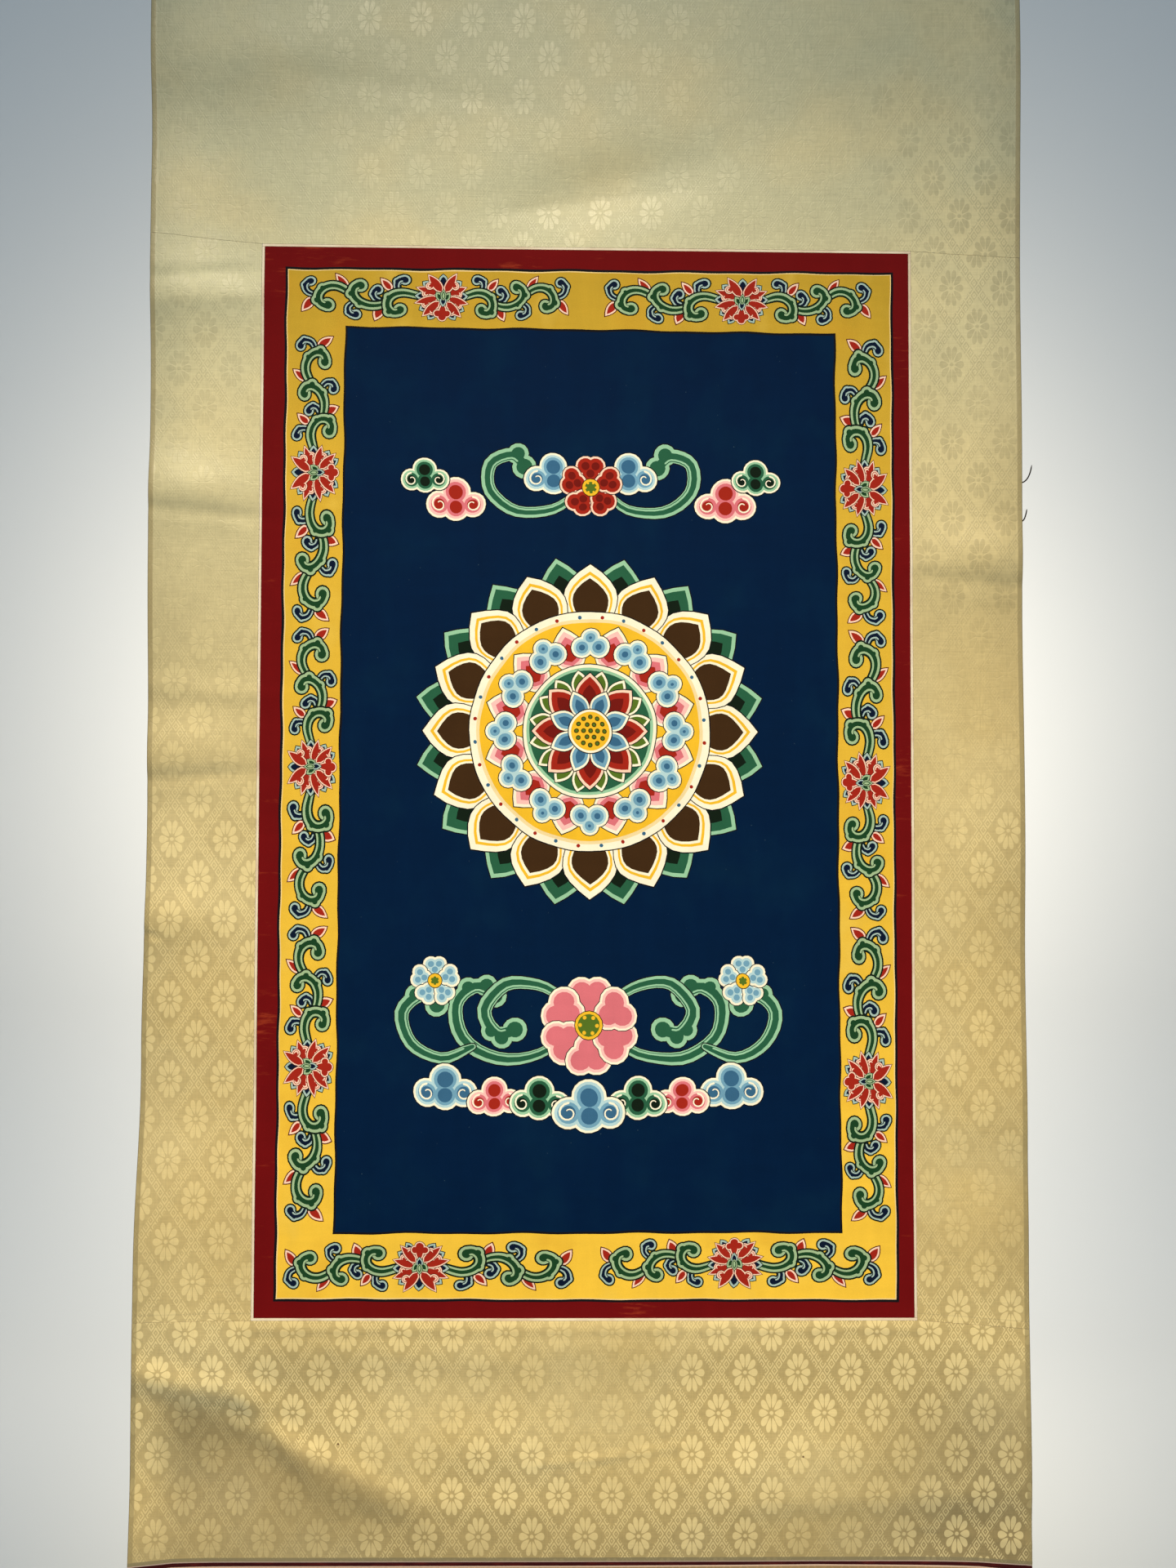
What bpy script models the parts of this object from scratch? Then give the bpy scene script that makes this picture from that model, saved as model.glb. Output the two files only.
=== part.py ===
# Hanging scroll: a painted sheet set in damask silk, with pale edging lines round the picture,
# a dark red line under the lower silk and a warmer brocade below it.
# Metres, +Z up. The front faces -Y, X runs to the right, and the origin is the middle of the top edge.

import math
from collections import namedtuple

import bmesh
import bpy

SHEET_THICKNESS = 0.0012
GAP = 0.0003
TOTAL_HEIGHT = 1.760
EDGING_WIDTH = 0.0020

# The scroll's two long edges aren't quite straight: it narrows a little beside the picture.
EdgePoint = namedtuple("EdgePoint", "below_top left right")
OUTLINE = (
    EdgePoint(0.000, -0.3985, 0.3985),
    EdgePoint(0.175, -0.3985, 0.3982),
    EdgePoint(0.325, -0.3956, 0.3973),
    EdgePoint(0.595, -0.3937, 0.3965),
    EdgePoint(0.985, -0.3906, 0.3962),
    EdgePoint(1.130, -0.3935, 0.3964),
    EdgePoint(1.320, -0.3969, 0.3973),
    EdgePoint(1.490, -0.3982, 0.3976),
    EdgePoint(1.760, -0.3975, 0.3975),
)

# The picture's corners: the painted sheet isn't an exact rectangle.
Corner = namedtuple("Corner", "x z")
PICTURE_TOP_LEFT = Corner(-0.2931, -0.3994)
PICTURE_TOP_RIGHT = Corner(0.2944, -0.4000)
PICTURE_BOTTOM_RIGHT = Corner(0.2950, -1.3622)
PICTURE_BOTTOM_LEFT = Corner(-0.2915, -1.3609)

# Heights at which the two seams run out past the long edges, and the course of the dark red line.
BEYOND_EDGE = 0.420
UPPER_SEAM_ENDS = (-0.3875, -0.4050)
LOWER_SEAM_ENDS = (-1.3635, -1.3735)
RedLine = namedtuple("RedLine", "x top bottom")
RED_LINE = (
    RedLine(-BEYOND_EDGE, -1.5765, -1.5798),
    RedLine(-0.360, -1.5723, -1.5755),
    RedLine(0.004, -1.5738, -1.5769),
    RedLine(0.207, -1.5744, -1.5768),
    RedLine(0.352, -1.5759, -1.5791),
    RedLine(BEYOND_EDGE, -1.5787, -1.5837),
)

# Soft bulges of the hanging sheet: forward is towards the viewer, and below zero it is a hollow.
Bulge = namedtuple("Bulge", "x below_top half_width half_height forward turn")
BULGES = (
    Bulge(-0.310, 0.215, 0.120, 0.040, 0.0040, -8),
    Bulge(0.020, 0.340, 0.090, 0.030, -0.0030, -14),
    Bulge(0.230, 0.160, 0.170, 0.080, 0.0030, 10),
    Bulge(-0.360, 0.440, 0.070, 0.035, 0.0022, 4),
    Bulge(-0.365, 0.622, 0.060, 0.028, 0.0028, 3),
    Bulge(-0.370, 0.862, 0.060, 0.030, 0.0030, -4),
    Bulge(-0.375, 1.010, 0.055, 0.024, 0.0020, 2),
    Bulge(-0.345, 1.180, 0.070, 0.060, -0.0022, 0),
    Bulge(0.365, 0.680, 0.060, 0.030, 0.0028, 0),
    Bulge(0.370, 0.960, 0.060, 0.070, 0.0020, 5),
    Bulge(0.360, 1.230, 0.060, 0.040, -0.0020, 0),
    Bulge(0.000, 1.385, 0.330, 0.026, 0.0016, 0),
    Bulge(-0.300, 1.470, 0.110, 0.050, -0.0050, -24),
    Bulge(-0.085, 1.478, 0.080, 0.028, 0.0018, 6),
    Bulge(0.180, 1.500, 0.120, 0.040, 0.0026, -6),
    Bulge(0.345, 1.550, 0.090, 0.022, -0.0018, -9),
    Bulge(-0.080, 0.720, 0.200, 0.160, 0.0020, 12),
    Bulge(0.140, 1.080, 0.170, 0.180, -0.0022, -10),
    Bulge(-0.120, 1.240, 0.140, 0.080, 0.0014, 0),
    Bulge(0.050, 1.700, 0.260, 0.060, 0.0030, 4),
)
CURL_WIDTH = 0.045
CURL_FORWARD = 0.0025
CURL_WAVE_LENGTH = 0.310
CURL_WAVE_SHARE = 0.55
CURL_WAVE_START = {"left": 0.0, "right": 0.4}
TAUT_HEIGHT = 0.090

WIDEST_CELL = 0.040
TALLEST_CELL = 0.022
FITTING_ROUNDS = 4

Finish = namedtuple("Finish", "name colour roughness")
DAMASK_SILK = Finish("damask_silk", (0.50, 0.44, 0.25), 0.55)
EARTH_BROCADE = Finish("earth_brocade", (0.36, 0.22, 0.10), 0.55)
PAINTED_PAPER = Finish("painted_paper", (0.02, 0.05, 0.14), 0.75)
PALE_PAPER = Finish("pale_paper", (0.70, 0.55, 0.45), 0.80)
DARK_RED_SILK = Finish("dark_red_silk", (0.07, 0.01, 0.01), 0.60)


def eased(fraction):
    return fraction * fraction * (3 - 2 * fraction)


def edge_x(z, side):
    """The scroll's left or right edge at height z, smooth through the outline's points."""
    below = min(max(-z, OUTLINE[0].below_top), OUTLINE[-1].below_top)
    for start, end in zip(OUTLINE, OUTLINE[1:]):
        if below <= end.below_top:
            break
    part = eased((below - start.below_top) / (end.below_top - start.below_top))
    first, last = getattr(start, side), getattr(end, side)
    return first + (last - first) * part


def left_edge(z):
    return edge_x(z, "left")


def right_edge(z):
    return edge_x(z, "right")


def forward_of_flat(x, z):
    """How far the sheet stands towards the viewer at a point, in metres."""
    below = -z
    total = 0.0
    for bulge in BULGES:
        turn = math.radians(bulge.turn)
        across, down = x - bulge.x, below - bulge.below_top
        u = (across * math.cos(turn) + down * math.sin(turn)) / bulge.half_width
        v = (down * math.cos(turn) - across * math.sin(turn)) / bulge.half_height
        total += bulge.forward * math.exp(-u * u - v * v)
    for side, wave_start in CURL_WAVE_START.items():
        inside = (edge_x(z, side) - x) / CURL_WIDTH
        wave = math.sin(2 * math.pi * (below / CURL_WAVE_LENGTH + wave_start))
        total += CURL_FORWARD * (1 + CURL_WAVE_SHARE * wave) * math.exp(-inside * inside)
    return total * eased(min(below / TAUT_HEIGHT, 1.0))


def level_line(corners):
    """A line across the scroll: its height at x, straight from corner to corner."""

    def height(x):
        for start, end in zip(corners, corners[1:]):
            if x <= end.x:
                break
        return start.z + (end.z - start.z) * (x - start.x) / (end.x - start.x)

    return height


def upright_line(upper, lower):
    """A line down the scroll: its x at height z."""
    return lambda z: upper.x + (lower.x - upper.x) * (upper.z - z) / (upper.z - lower.z)


def moved(line, distance):
    return lambda at: line(at) + distance


def columns(height, corners):
    """Fractions across the scroll at a height, with one at each given corner of the seams."""
    left, right = left_edge(height), right_edge(height)
    stops = sorted({left, right} | {corner.x for corner in corners if left < corner.x < right})
    fractions = [0.0]
    for start, end in zip(stops, stops[1:]):
        cells = math.ceil((end - start) / WIDEST_CELL)
        for cell in range(1, cells + 1):
            x = start + (end - start) * cell / cells
            fractions.append((x - left) / (right - left))
    return fractions


def even_columns(width):
    cells = math.ceil(width / WIDEST_CELL)
    return [cell / cells for cell in range(cells + 1)]


def material(finish):
    made = bpy.data.materials.new(finish.name)
    made.use_nodes = True
    shader = made.node_tree.nodes["Principled BSDF"]
    shader.inputs["Base Color"].default_value = (*finish.colour, 1.0)
    shader.inputs["Roughness"].default_value = finish.roughness
    shader.inputs["Metallic"].default_value = 0.0
    return made


def make_sheet(name, finish, across, left, right, top, bottom):
    """A thin sheet between four lines, standing forward and back as the whole scroll does.

    left and right give x at a height, top and bottom give the height at x,
    and across holds the fractions of the width that get a column of points.
    """
    middle = (left(top(0.0)) + right(top(0.0))) / 2
    rows = math.ceil((top(middle) - bottom(middle)) / TALLEST_CELL)
    sheet = bmesh.new()
    grid = []
    for row in range(rows + 1):
        line = []
        for fraction in across:
            x, z = middle, top(middle)
            for _ in range(FITTING_ROUNDS):
                x = left(z) + (right(z) - left(z)) * fraction
                z = top(x) + (bottom(x) - top(x)) * row / rows
            line.append(sheet.verts.new((x, -forward_of_flat(x, z), z)))
        grid.append(line)
    for upper, lower in zip(grid, grid[1:]):
        for i in range(len(across) - 1):
            sheet.faces.new((upper[i], lower[i], lower[i + 1], upper[i + 1]))
    mesh = bpy.data.meshes.new(name)
    sheet.to_mesh(mesh)
    sheet.free()
    mesh.shade_smooth()
    mesh.materials.append(material(finish))
    made = bpy.data.objects.new(name, mesh)
    bpy.context.scene.collection.objects.link(made)
    solid = made.modifiers.new("Thickness", "SOLIDIFY")
    solid.thickness = SHEET_THICKNESS
    solid.offset = 0.0


for old in list(bpy.data.objects):
    bpy.data.objects.remove(old, do_unlink=True)

# The lines that part the pieces. Each piece stops half a gap short of its lines.
half = GAP / 2
mat = GAP + EDGING_WIDTH
picture_left = upright_line(PICTURE_TOP_LEFT, PICTURE_BOTTOM_LEFT)
picture_right = upright_line(PICTURE_TOP_RIGHT, PICTURE_BOTTOM_RIGHT)
picture_top = level_line((PICTURE_TOP_LEFT, PICTURE_TOP_RIGHT))
picture_bottom = level_line((PICTURE_BOTTOM_LEFT, PICTURE_BOTTOM_RIGHT))
mat_left = moved(picture_left, -mat)
mat_right = moved(picture_right, mat)
upper_corners = (
    Corner(-BEYOND_EDGE, UPPER_SEAM_ENDS[0]),
    Corner(PICTURE_TOP_LEFT.x - mat, PICTURE_TOP_LEFT.z + mat),
    Corner(PICTURE_TOP_RIGHT.x + mat, PICTURE_TOP_RIGHT.z + mat),
    Corner(BEYOND_EDGE, UPPER_SEAM_ENDS[1]),
)
lower_corners = (
    Corner(-BEYOND_EDGE, LOWER_SEAM_ENDS[0]),
    Corner(PICTURE_BOTTOM_LEFT.x - mat, PICTURE_BOTTOM_LEFT.z - mat),
    Corner(PICTURE_BOTTOM_RIGHT.x + mat, PICTURE_BOTTOM_RIGHT.z - mat),
    Corner(BEYOND_EDGE, LOWER_SEAM_ENDS[1]),
)
red_top_corners = [Corner(row.x, row.top) for row in RED_LINE]
red_bottom_corners = [Corner(row.x, row.bottom) for row in RED_LINE]
upper_seam = level_line(upper_corners)
lower_seam = level_line(lower_corners)
red_top = level_line(red_top_corners)
red_bottom = level_line(red_bottom_corners)

# The full-width silks: above the picture, below it, the dark red line and the last brocade.
make_sheet(
    "upper_brocade_panel",
    DAMASK_SILK,
    columns(upper_corners[1].z, upper_corners),
    left_edge,
    right_edge,
    lambda x: 0.0,
    moved(upper_seam, half),
)
make_sheet(
    "lower_brocade_panel",
    DAMASK_SILK,
    columns(lower_corners[1].z, (*lower_corners, *red_top_corners)),
    left_edge,
    right_edge,
    moved(lower_seam, -half),
    moved(red_top, half),
)
make_sheet(
    "lower_red_strip",
    DARK_RED_SILK,
    columns(RED_LINE[1].top, red_top_corners),
    left_edge,
    right_edge,
    moved(red_top, -half),
    moved(red_bottom, half),
)
make_sheet(
    "earth_brocade_panel",
    EARTH_BROCADE,
    columns(RED_LINE[1].bottom, red_bottom_corners),
    left_edge,
    right_edge,
    moved(red_bottom, -half),
    lambda x: -TOTAL_HEIGHT,
)

# The silk strips beside the picture.
for name, left, right in (
    ("left_brocade_strip", left_edge, moved(mat_left, -half)),
    ("right_brocade_strip", moved(mat_right, half), right_edge),
):
    width = right(upper_corners[1].z) - left(upper_corners[1].z)
    make_sheet(
        name,
        DAMASK_SILK,
        even_columns(width),
        left,
        right,
        moved(upper_seam, -half),
        moved(lower_seam, half),
    )

# The painted sheet and the four edging lines round it.
picture_width = PICTURE_TOP_RIGHT.x - PICTURE_TOP_LEFT.x
make_sheet(
    "painting_sheet",
    PAINTED_PAPER,
    even_columns(picture_width),
    moved(picture_left, half),
    moved(picture_right, -half),
    moved(picture_top, -half),
    moved(picture_bottom, half),
)
for name, left, right, top, bottom in (
    ("edging_top", mat_left, mat_right, moved(picture_top, mat), picture_top),
    ("edging_bottom", mat_left, mat_right, picture_bottom, moved(picture_bottom, -mat)),
    ("edging_left", mat_left, picture_left, picture_top, picture_bottom),
    ("edging_right", picture_right, mat_right, picture_top, picture_bottom),
):
    width = right(PICTURE_TOP_LEFT.z) - left(PICTURE_TOP_LEFT.z)
    make_sheet(
        name,
        PALE_PAPER,
        even_columns(width),
        moved(left, half),
        moved(right, -half),
        moved(top, -half),
        moved(bottom, half),
    )
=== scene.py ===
import math

import bmesh
import bpy
import numpy as np
from mathutils import Matrix, Vector
from mathutils.bvhtree import BVHTree
from mathutils.geometry import delaunay_2d_cdt


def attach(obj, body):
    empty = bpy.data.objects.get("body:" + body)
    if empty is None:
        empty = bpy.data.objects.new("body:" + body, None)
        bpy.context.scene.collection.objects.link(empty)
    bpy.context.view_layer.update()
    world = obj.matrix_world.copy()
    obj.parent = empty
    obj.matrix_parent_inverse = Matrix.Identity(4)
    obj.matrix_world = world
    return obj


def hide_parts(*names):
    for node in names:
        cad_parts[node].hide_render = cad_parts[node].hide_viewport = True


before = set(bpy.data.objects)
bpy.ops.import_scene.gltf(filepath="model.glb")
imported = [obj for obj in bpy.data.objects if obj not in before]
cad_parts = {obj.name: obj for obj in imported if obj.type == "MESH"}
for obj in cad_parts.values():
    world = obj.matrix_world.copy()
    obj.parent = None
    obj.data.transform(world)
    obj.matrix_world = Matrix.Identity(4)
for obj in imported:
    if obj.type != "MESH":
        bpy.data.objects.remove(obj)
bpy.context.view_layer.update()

millimetre = 0.001

# how the scroll hangs: metres, front towards -Y, the origin in the middle of its top edge
hang = {
    "thickness": 0.0012,
    "gap": 0.0003,
    "height": 1.760,
    "edging": 0.0020,
    # below the top edge, left edge, right edge
    "outline": (
        (0.000, -0.3985, 0.3985),
        (0.175, -0.3985, 0.3982),
        (0.325, -0.3956, 0.3973),
        (0.595, -0.3937, 0.3965),
        (0.985, -0.3906, 0.3962),
        (1.130, -0.3935, 0.3964),
        (1.320, -0.3969, 0.3973),
        (1.490, -0.3982, 0.3976),
        (1.760, -0.3975, 0.3975),
    ),
    "pictureTopLeft": (-0.2931, -0.3994),
    "pictureTopRight": (0.2944, -0.4000),
    "pictureBottomRight": (0.2950, -1.3622),
    "pictureBottomLeft": (-0.2915, -1.3609),
    "beyondEdge": 0.420,
    "upperSeamEnds": (-0.3875, -0.4050),
    "lowerSeamEnds": (-1.3635, -1.3735),
    # across, top, bottom
    "redLine": (
        (-0.420, -1.5765, -1.5798),
        (-0.360, -1.5723, -1.5755),
        (0.004, -1.5738, -1.5769),
        (0.207, -1.5744, -1.5768),
        (0.352, -1.5759, -1.5791),
        (0.420, -1.5787, -1.5837),
    ),
    # across, below the top, half width, half height, forward, degrees turned
    "bulges": (
        (-0.310, 0.215, 0.120, 0.040, 0.0040, -8),
        (0.020, 0.340, 0.090, 0.030, -0.0030, -14),
        (0.230, 0.160, 0.170, 0.080, 0.0030, 10),
        (-0.360, 0.440, 0.070, 0.035, 0.0022, 4),
        (-0.365, 0.622, 0.060, 0.028, 0.0028, 3),
        (-0.370, 0.862, 0.060, 0.030, 0.0030, -4),
        (-0.375, 1.010, 0.055, 0.024, 0.0020, 2),
        (-0.345, 1.180, 0.070, 0.060, -0.0022, 0),
        (0.365, 0.680, 0.060, 0.030, 0.0028, 0),
        (0.370, 0.960, 0.060, 0.070, 0.0020, 5),
        (0.360, 1.230, 0.060, 0.040, -0.0020, 0),
        (0.000, 1.385, 0.330, 0.026, 0.0016, 0),
        (-0.300, 1.470, 0.110, 0.050, -0.0050, -24),
        (-0.085, 1.478, 0.080, 0.028, 0.0018, 6),
        (0.180, 1.500, 0.120, 0.040, 0.0026, -6),
        (0.345, 1.550, 0.090, 0.022, -0.0018, -9),
        (-0.080, 0.720, 0.200, 0.160, 0.0020, 12),
        (0.140, 1.080, 0.170, 0.180, -0.0022, -10),
        (-0.120, 1.240, 0.140, 0.080, 0.0014, 0),
        (0.050, 1.700, 0.260, 0.060, 0.0030, 4),
    ),
    "curlWidth": 0.045,
    "curlForward": 0.0025,
    "curlWaveLength": 0.310,
    "curlWaveShare": 0.55,
    "curlWaveStart": (0.0, 0.4),
    "tautHeight": 0.090,
    "foldLight": (1.3, 2.2),
    "foldLightFrom": (0.20, 0.45),
}


def eased(part):
    return part * part * (3 - 2 * part)


def edgeX(z, side):
    rows = np.array(hang["outline"])
    below = np.clip(-np.asarray(z, float), rows[0, 0], rows[-1, 0])
    at = np.clip(np.searchsorted(rows[:, 0], below, "left"), 1, len(rows) - 1)
    part = eased((below - rows[at - 1, 0]) / (rows[at, 0] - rows[at - 1, 0]))
    return rows[at - 1, side] + (rows[at, side] - rows[at - 1, side]) * part


def leftEdge(z):
    return edgeX(z, 1)


def rightEdge(z):
    return edgeX(z, 2)


def forwardOfFlat(x, z):
    x, z = np.asarray(x, float), np.asarray(z, float)
    below = -z
    total = np.zeros(np.broadcast(x, z).shape)
    for middle, down, halfWidth, halfHeight, forward, degrees in hang["bulges"]:
        turn = math.radians(degrees)
        u = ((x - middle) * math.cos(turn) + (below - down) * math.sin(turn)) / halfWidth
        v = ((below - down) * math.cos(turn) - (x - middle) * math.sin(turn)) / halfHeight
        total += forward * np.exp(-u * u - v * v)
    for side, start in ((1, hang["curlWaveStart"][0]), (2, hang["curlWaveStart"][1])):
        inside = (edgeX(z, side) - x) / hang["curlWidth"]
        wave = np.sin(2 * math.pi * (below / hang["curlWaveLength"] + start))
        total += hang["curlForward"] * (1 + hang["curlWaveShare"] * wave) * np.exp(-inside * inside)
    return total * eased(np.minimum(np.maximum(below, 0) / hang["tautHeight"], 1.0))


# small creases that the silk keeps: from and to (across, below the top), half width, forward
creases = (
    ((0.297, 1.545), (0.394, 1.557), 0.0018, 0.0003),
    ((0.330, 1.5525), (0.396, 1.561), 0.0020, 0.0003),
    ((-0.035, 1.488), (0.022, 1.483), 0.0030, 0.0005),
    ((0.022, 1.483), (0.080, 1.4746), 0.0030, 0.0004),
    ((-0.398, 1.020), (-0.384, 1.024), 0.0020, -0.0008),
    ((-0.398, 0.430), (-0.330, 0.424), 0.0060, -0.0005),
    ((-0.396, 0.640), (-0.318, 0.646), 0.0070, -0.0007),
    ((-0.396, 0.885), (-0.320, 0.880), 0.0070, -0.0007),
    ((0.322, 0.700), (0.398, 0.706), 0.0070, -0.0006),
    ((-0.240, 0.243), (-0.090, 0.262), 0.0110, -0.0003),
    ((-0.050, 0.362), (0.075, 0.345), 0.0070, -0.0003),
)

# shallow folds that only the light shows: from, to, half width, forward
lightFolds = (
    ((-0.400, 1.408), (-0.352, 1.420), 0.013, 0.0010),
    ((-0.352, 1.420), (-0.300, 1.432), 0.013, 0.0013),
    ((-0.300, 1.432), (-0.258, 1.478), 0.012, 0.0013),
    ((-0.258, 1.478), (-0.185, 1.516), 0.014, 0.0012),
    ((-0.185, 1.516), (-0.070, 1.526), 0.016, 0.0009),
    ((0.180, 1.523), (0.310, 1.519), 0.012, 0.0008),
    ((-0.285, 1.3700), (0.290, 1.3712), 0.0045, 0.0006),
    ((-0.200, 1.392), (-0.090, 1.399), 0.011, 0.0003),
    ((-0.398, 1.560), (0.398, 1.568), 0.040, 0.0020),
    ((-0.398, 0.452), (-0.318, 0.446), 0.010, 0.0005),
    ((-0.396, 0.800), (-0.322, 0.806), 0.010, 0.0006),
)


def creaseForward(x, z, rows=creases):
    total = np.zeros(np.broadcast(x, z).shape)
    for (x1, d1), (x2, d2), halfWidth, forward in rows:
        length = math.hypot(x2 - x1, d2 - d1)
        ux, ud = (x2 - x1) / length, (d2 - d1) / length
        along = (x - x1) * ux + (-z - d1) * ud
        across = ((x - x1) * ud - (-z - d1) * ux) / halfWidth
        beyond = np.maximum(np.maximum(-along, along - length), 0) / (4 * halfWidth)
        total += forward * np.exp(-across * across - beyond * beyond)
    return total


def hangingForward(x, z):
    return forwardOfFlat(x, z) + creaseForward(x, z)


def litForward(x, z):
    # the folds as the light shows them: deeper than they are, the more so low down
    top, low = hang["foldLightFrom"]
    share = eased(np.clip((-np.asarray(z, float) - top) / (low - top), 0, 1))
    deeper = hang["foldLight"][0] + (hang["foldLight"][1] - hang["foldLight"][0]) * share
    return deeper * (hangingForward(x, z) + creaseForward(x, z, lightFolds))


def levelLine(corners):
    xs, zs = zip(*corners)
    slope = (zs[-1] - zs[-2]) / (xs[-1] - xs[-2])
    start = (zs[1] - zs[0]) / (xs[1] - xs[0])

    def height(x):
        x = np.asarray(x, float)
        inside = np.interp(x, xs, zs)
        inside = inside + np.minimum(x - xs[0], 0) * start
        return inside + np.maximum(x - xs[-1], 0) * slope

    return height


def uprightLine(upper, lower):
    return lambda z: upper[0] + (lower[0] - upper[0]) * (upper[1] - z) / (upper[1] - lower[1])


def moved(line, distance):
    return lambda at: line(at) + distance


mat = hang["gap"] + hang["edging"]
half = hang["gap"] / 2
topLeft, topRight = hang["pictureTopLeft"], hang["pictureTopRight"]
bottomLeft, bottomRight = hang["pictureBottomLeft"], hang["pictureBottomRight"]
pictureLeft = uprightLine(topLeft, bottomLeft)
pictureRight = uprightLine(topRight, bottomRight)
pictureTop = levelLine((topLeft, topRight))
pictureBottom = levelLine((bottomLeft, bottomRight))
matLeft, matRight = moved(pictureLeft, -mat), moved(pictureRight, mat)
upperSeam = levelLine(
    (
        (-hang["beyondEdge"], hang["upperSeamEnds"][0]),
        (topLeft[0] - mat, topLeft[1] + mat),
        (topRight[0] + mat, topRight[1] + mat),
        (hang["beyondEdge"], hang["upperSeamEnds"][1]),
    )
)
lowerSeam = levelLine(
    (
        (-hang["beyondEdge"], hang["lowerSeamEnds"][0]),
        (bottomLeft[0] - mat, bottomLeft[1] - mat),
        (bottomRight[0] + mat, bottomRight[1] - mat),
        (hang["beyondEdge"], hang["lowerSeamEnds"][1]),
    )
)
redTop = levelLine([(x, top) for x, top, bottom in hang["redLine"]])
redBottom = levelLine([(x, bottom) for x, top, bottom in hang["redLine"]])


# shader and node helpers


def linear(colour):
    c = np.array(colour, float) / 255
    return tuple(np.where(c <= 0.04045, c / 12.92, ((c + 0.055) / 1.055) ** 2.4))


class Wire:
    # an output socket: sums written on it add Math nodes
    def __init__(self, finish, socket):
        self.finish = finish
        self.socket = socket

    def sum(self, operation, *values):
        return self.finish.add("ShaderNodeMath", {"operation": operation}, dict(enumerate(values)))

    def __add__(self, other):
        return self.sum("ADD", self, other)

    def __sub__(self, other):
        return self.sum("SUBTRACT", self, other)

    def __rsub__(self, other):
        return self.sum("SUBTRACT", other, self)

    def __mul__(self, other):
        return self.sum("MULTIPLY", self, other)

    def __truediv__(self, other):
        return self.sum("DIVIDE", self, other)

    def __rtruediv__(self, other):
        return self.sum("DIVIDE", other, self)

    def __pow__(self, other):
        return self.sum("POWER", self, other)

    def __lt__(self, other):
        return self.sum("LESS_THAN", self, other)

    def __gt__(self, other):
        return self.sum("GREATER_THAN", self, other)

    def __abs__(self):
        return self.sum("ABSOLUTE", self)

    __radd__ = __add__
    __rmul__ = __mul__

    def fraction(self):
        return self.sum("FRACT", self)

    def lower(self, other):
        return self.sum("MINIMUM", self, other)

    def upper(self, other):
        return self.sum("MAXIMUM", self, other)

    def ramp(self, start, end):
        # 0 at start and 1 at end, smooth between; start may be the larger
        flip = start > end
        made = self.finish.add(
            "ShaderNodeMapRange",
            {"interpolation_type": "SMOOTHSTEP", "clamp": True},
            {"Value": self, "From Min": min(start, end), "From Max": max(start, end)},
        )
        return 1 - made if flip else made


def newNode(tree, kind, settings, values):
    # a value is a constant, or a socket that gets linked
    node = tree.nodes.new(kind)
    for name, value in settings.items():
        setattr(node, name, value)
    for name, value in values.items():
        if isinstance(value, bpy.types.NodeSocket):
            tree.links.new(value, node.inputs[name])
        else:
            node.inputs[name].default_value = value
    return node


class Finish:
    def __init__(self, name):
        self.material = bpy.data.materials.new(name)
        self.material.use_nodes = True
        self.tree = self.material.node_tree
        self.tree.nodes.clear()
        place = self.tree.nodes.new("ShaderNodeTexCoord").outputs["Object"]
        parts = newNode(self.tree, "ShaderNodeSeparateXYZ", {}, {0: place})
        self.x, self.z = Wire(self, parts.outputs[0]), Wire(self, parts.outputs[2])
        self.below = self.z * -1

    def node(self, kind, settings, values):
        bare = {name: value.socket if isinstance(value, Wire) else value for name, value in values.items()}
        return newNode(self.tree, kind, settings, bare)

    def add(self, kind, settings, values, output=0):
        return Wire(self, self.node(kind, settings, values).outputs[output])

    def attribute(self, name, output="Fac"):
        return self.add("ShaderNodeAttribute", {"attribute_name": name}, {}, output)

    def noise(self, across, down, detail, roughness=0.6, shift=0.0):
        # cloud noise with its own scale across and down the cloth, from 0 to 1
        place = self.add("ShaderNodeCombineXYZ", {}, {0: self.x * across + shift, 2: self.z * down - shift})
        values = {"Vector": place, "Scale": 1.0, "Detail": detail, "Roughness": roughness}
        return self.add("ShaderNodeTexNoise", {"noise_dimensions": "3D"}, values)

    def grain(self, rows):
        # the noises of a weave by name, and the level that their shares add up to
        noises, level = {}, 1
        for name, (across, down, detail, shift, share) in rows.items():
            noises[name] = self.noise(across, down, detail, shift=shift)
            level = (noises[name] - 0.5) * share + level
        return noises, level

    def blend(self, part, first, second):
        first = (*first, 1.0) if isinstance(first, tuple) else first
        second = (*second, 1.0) if isinstance(second, tuple) else second
        return self.add("ShaderNodeMix", {"data_type": "RGBA"}, {0: part, 6: first, 7: second}, 2)

    def brightened(self, colour, amount):
        return self.add("ShaderNodeVectorMath", {"operation": "SCALE"}, {0: colour, 3: amount})

    def bump(self, height, distance, strength):
        return self.add("ShaderNodeBump", {}, {"Height": height, "Distance": distance, "Strength": strength})

    def shade(self, **values):
        named = {name.replace("_", " "): value for name, value in values.items()}
        surface = self.node("ShaderNodeBsdfPrincipled", {}, named)
        newNode(self.tree, "ShaderNodeOutputMaterial", {}, {0: surface.outputs[0]})
        return self.material


# mesh helpers


def inScene(name, data):
    made = bpy.data.objects.new(name, data)
    bpy.context.scene.collection.objects.link(made)
    return made


def newMesh(name, points, faces):
    mesh = bpy.data.meshes.new(name)
    mesh.from_pydata(np.asarray(points).tolist(), [], faces)
    return mesh


def readOut(items, name, width=1, kind=float):
    values = np.empty(len(items) * width, kind)
    items.foreach_get(name, values)
    return values if width == 1 else values.reshape(-1, width)


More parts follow.
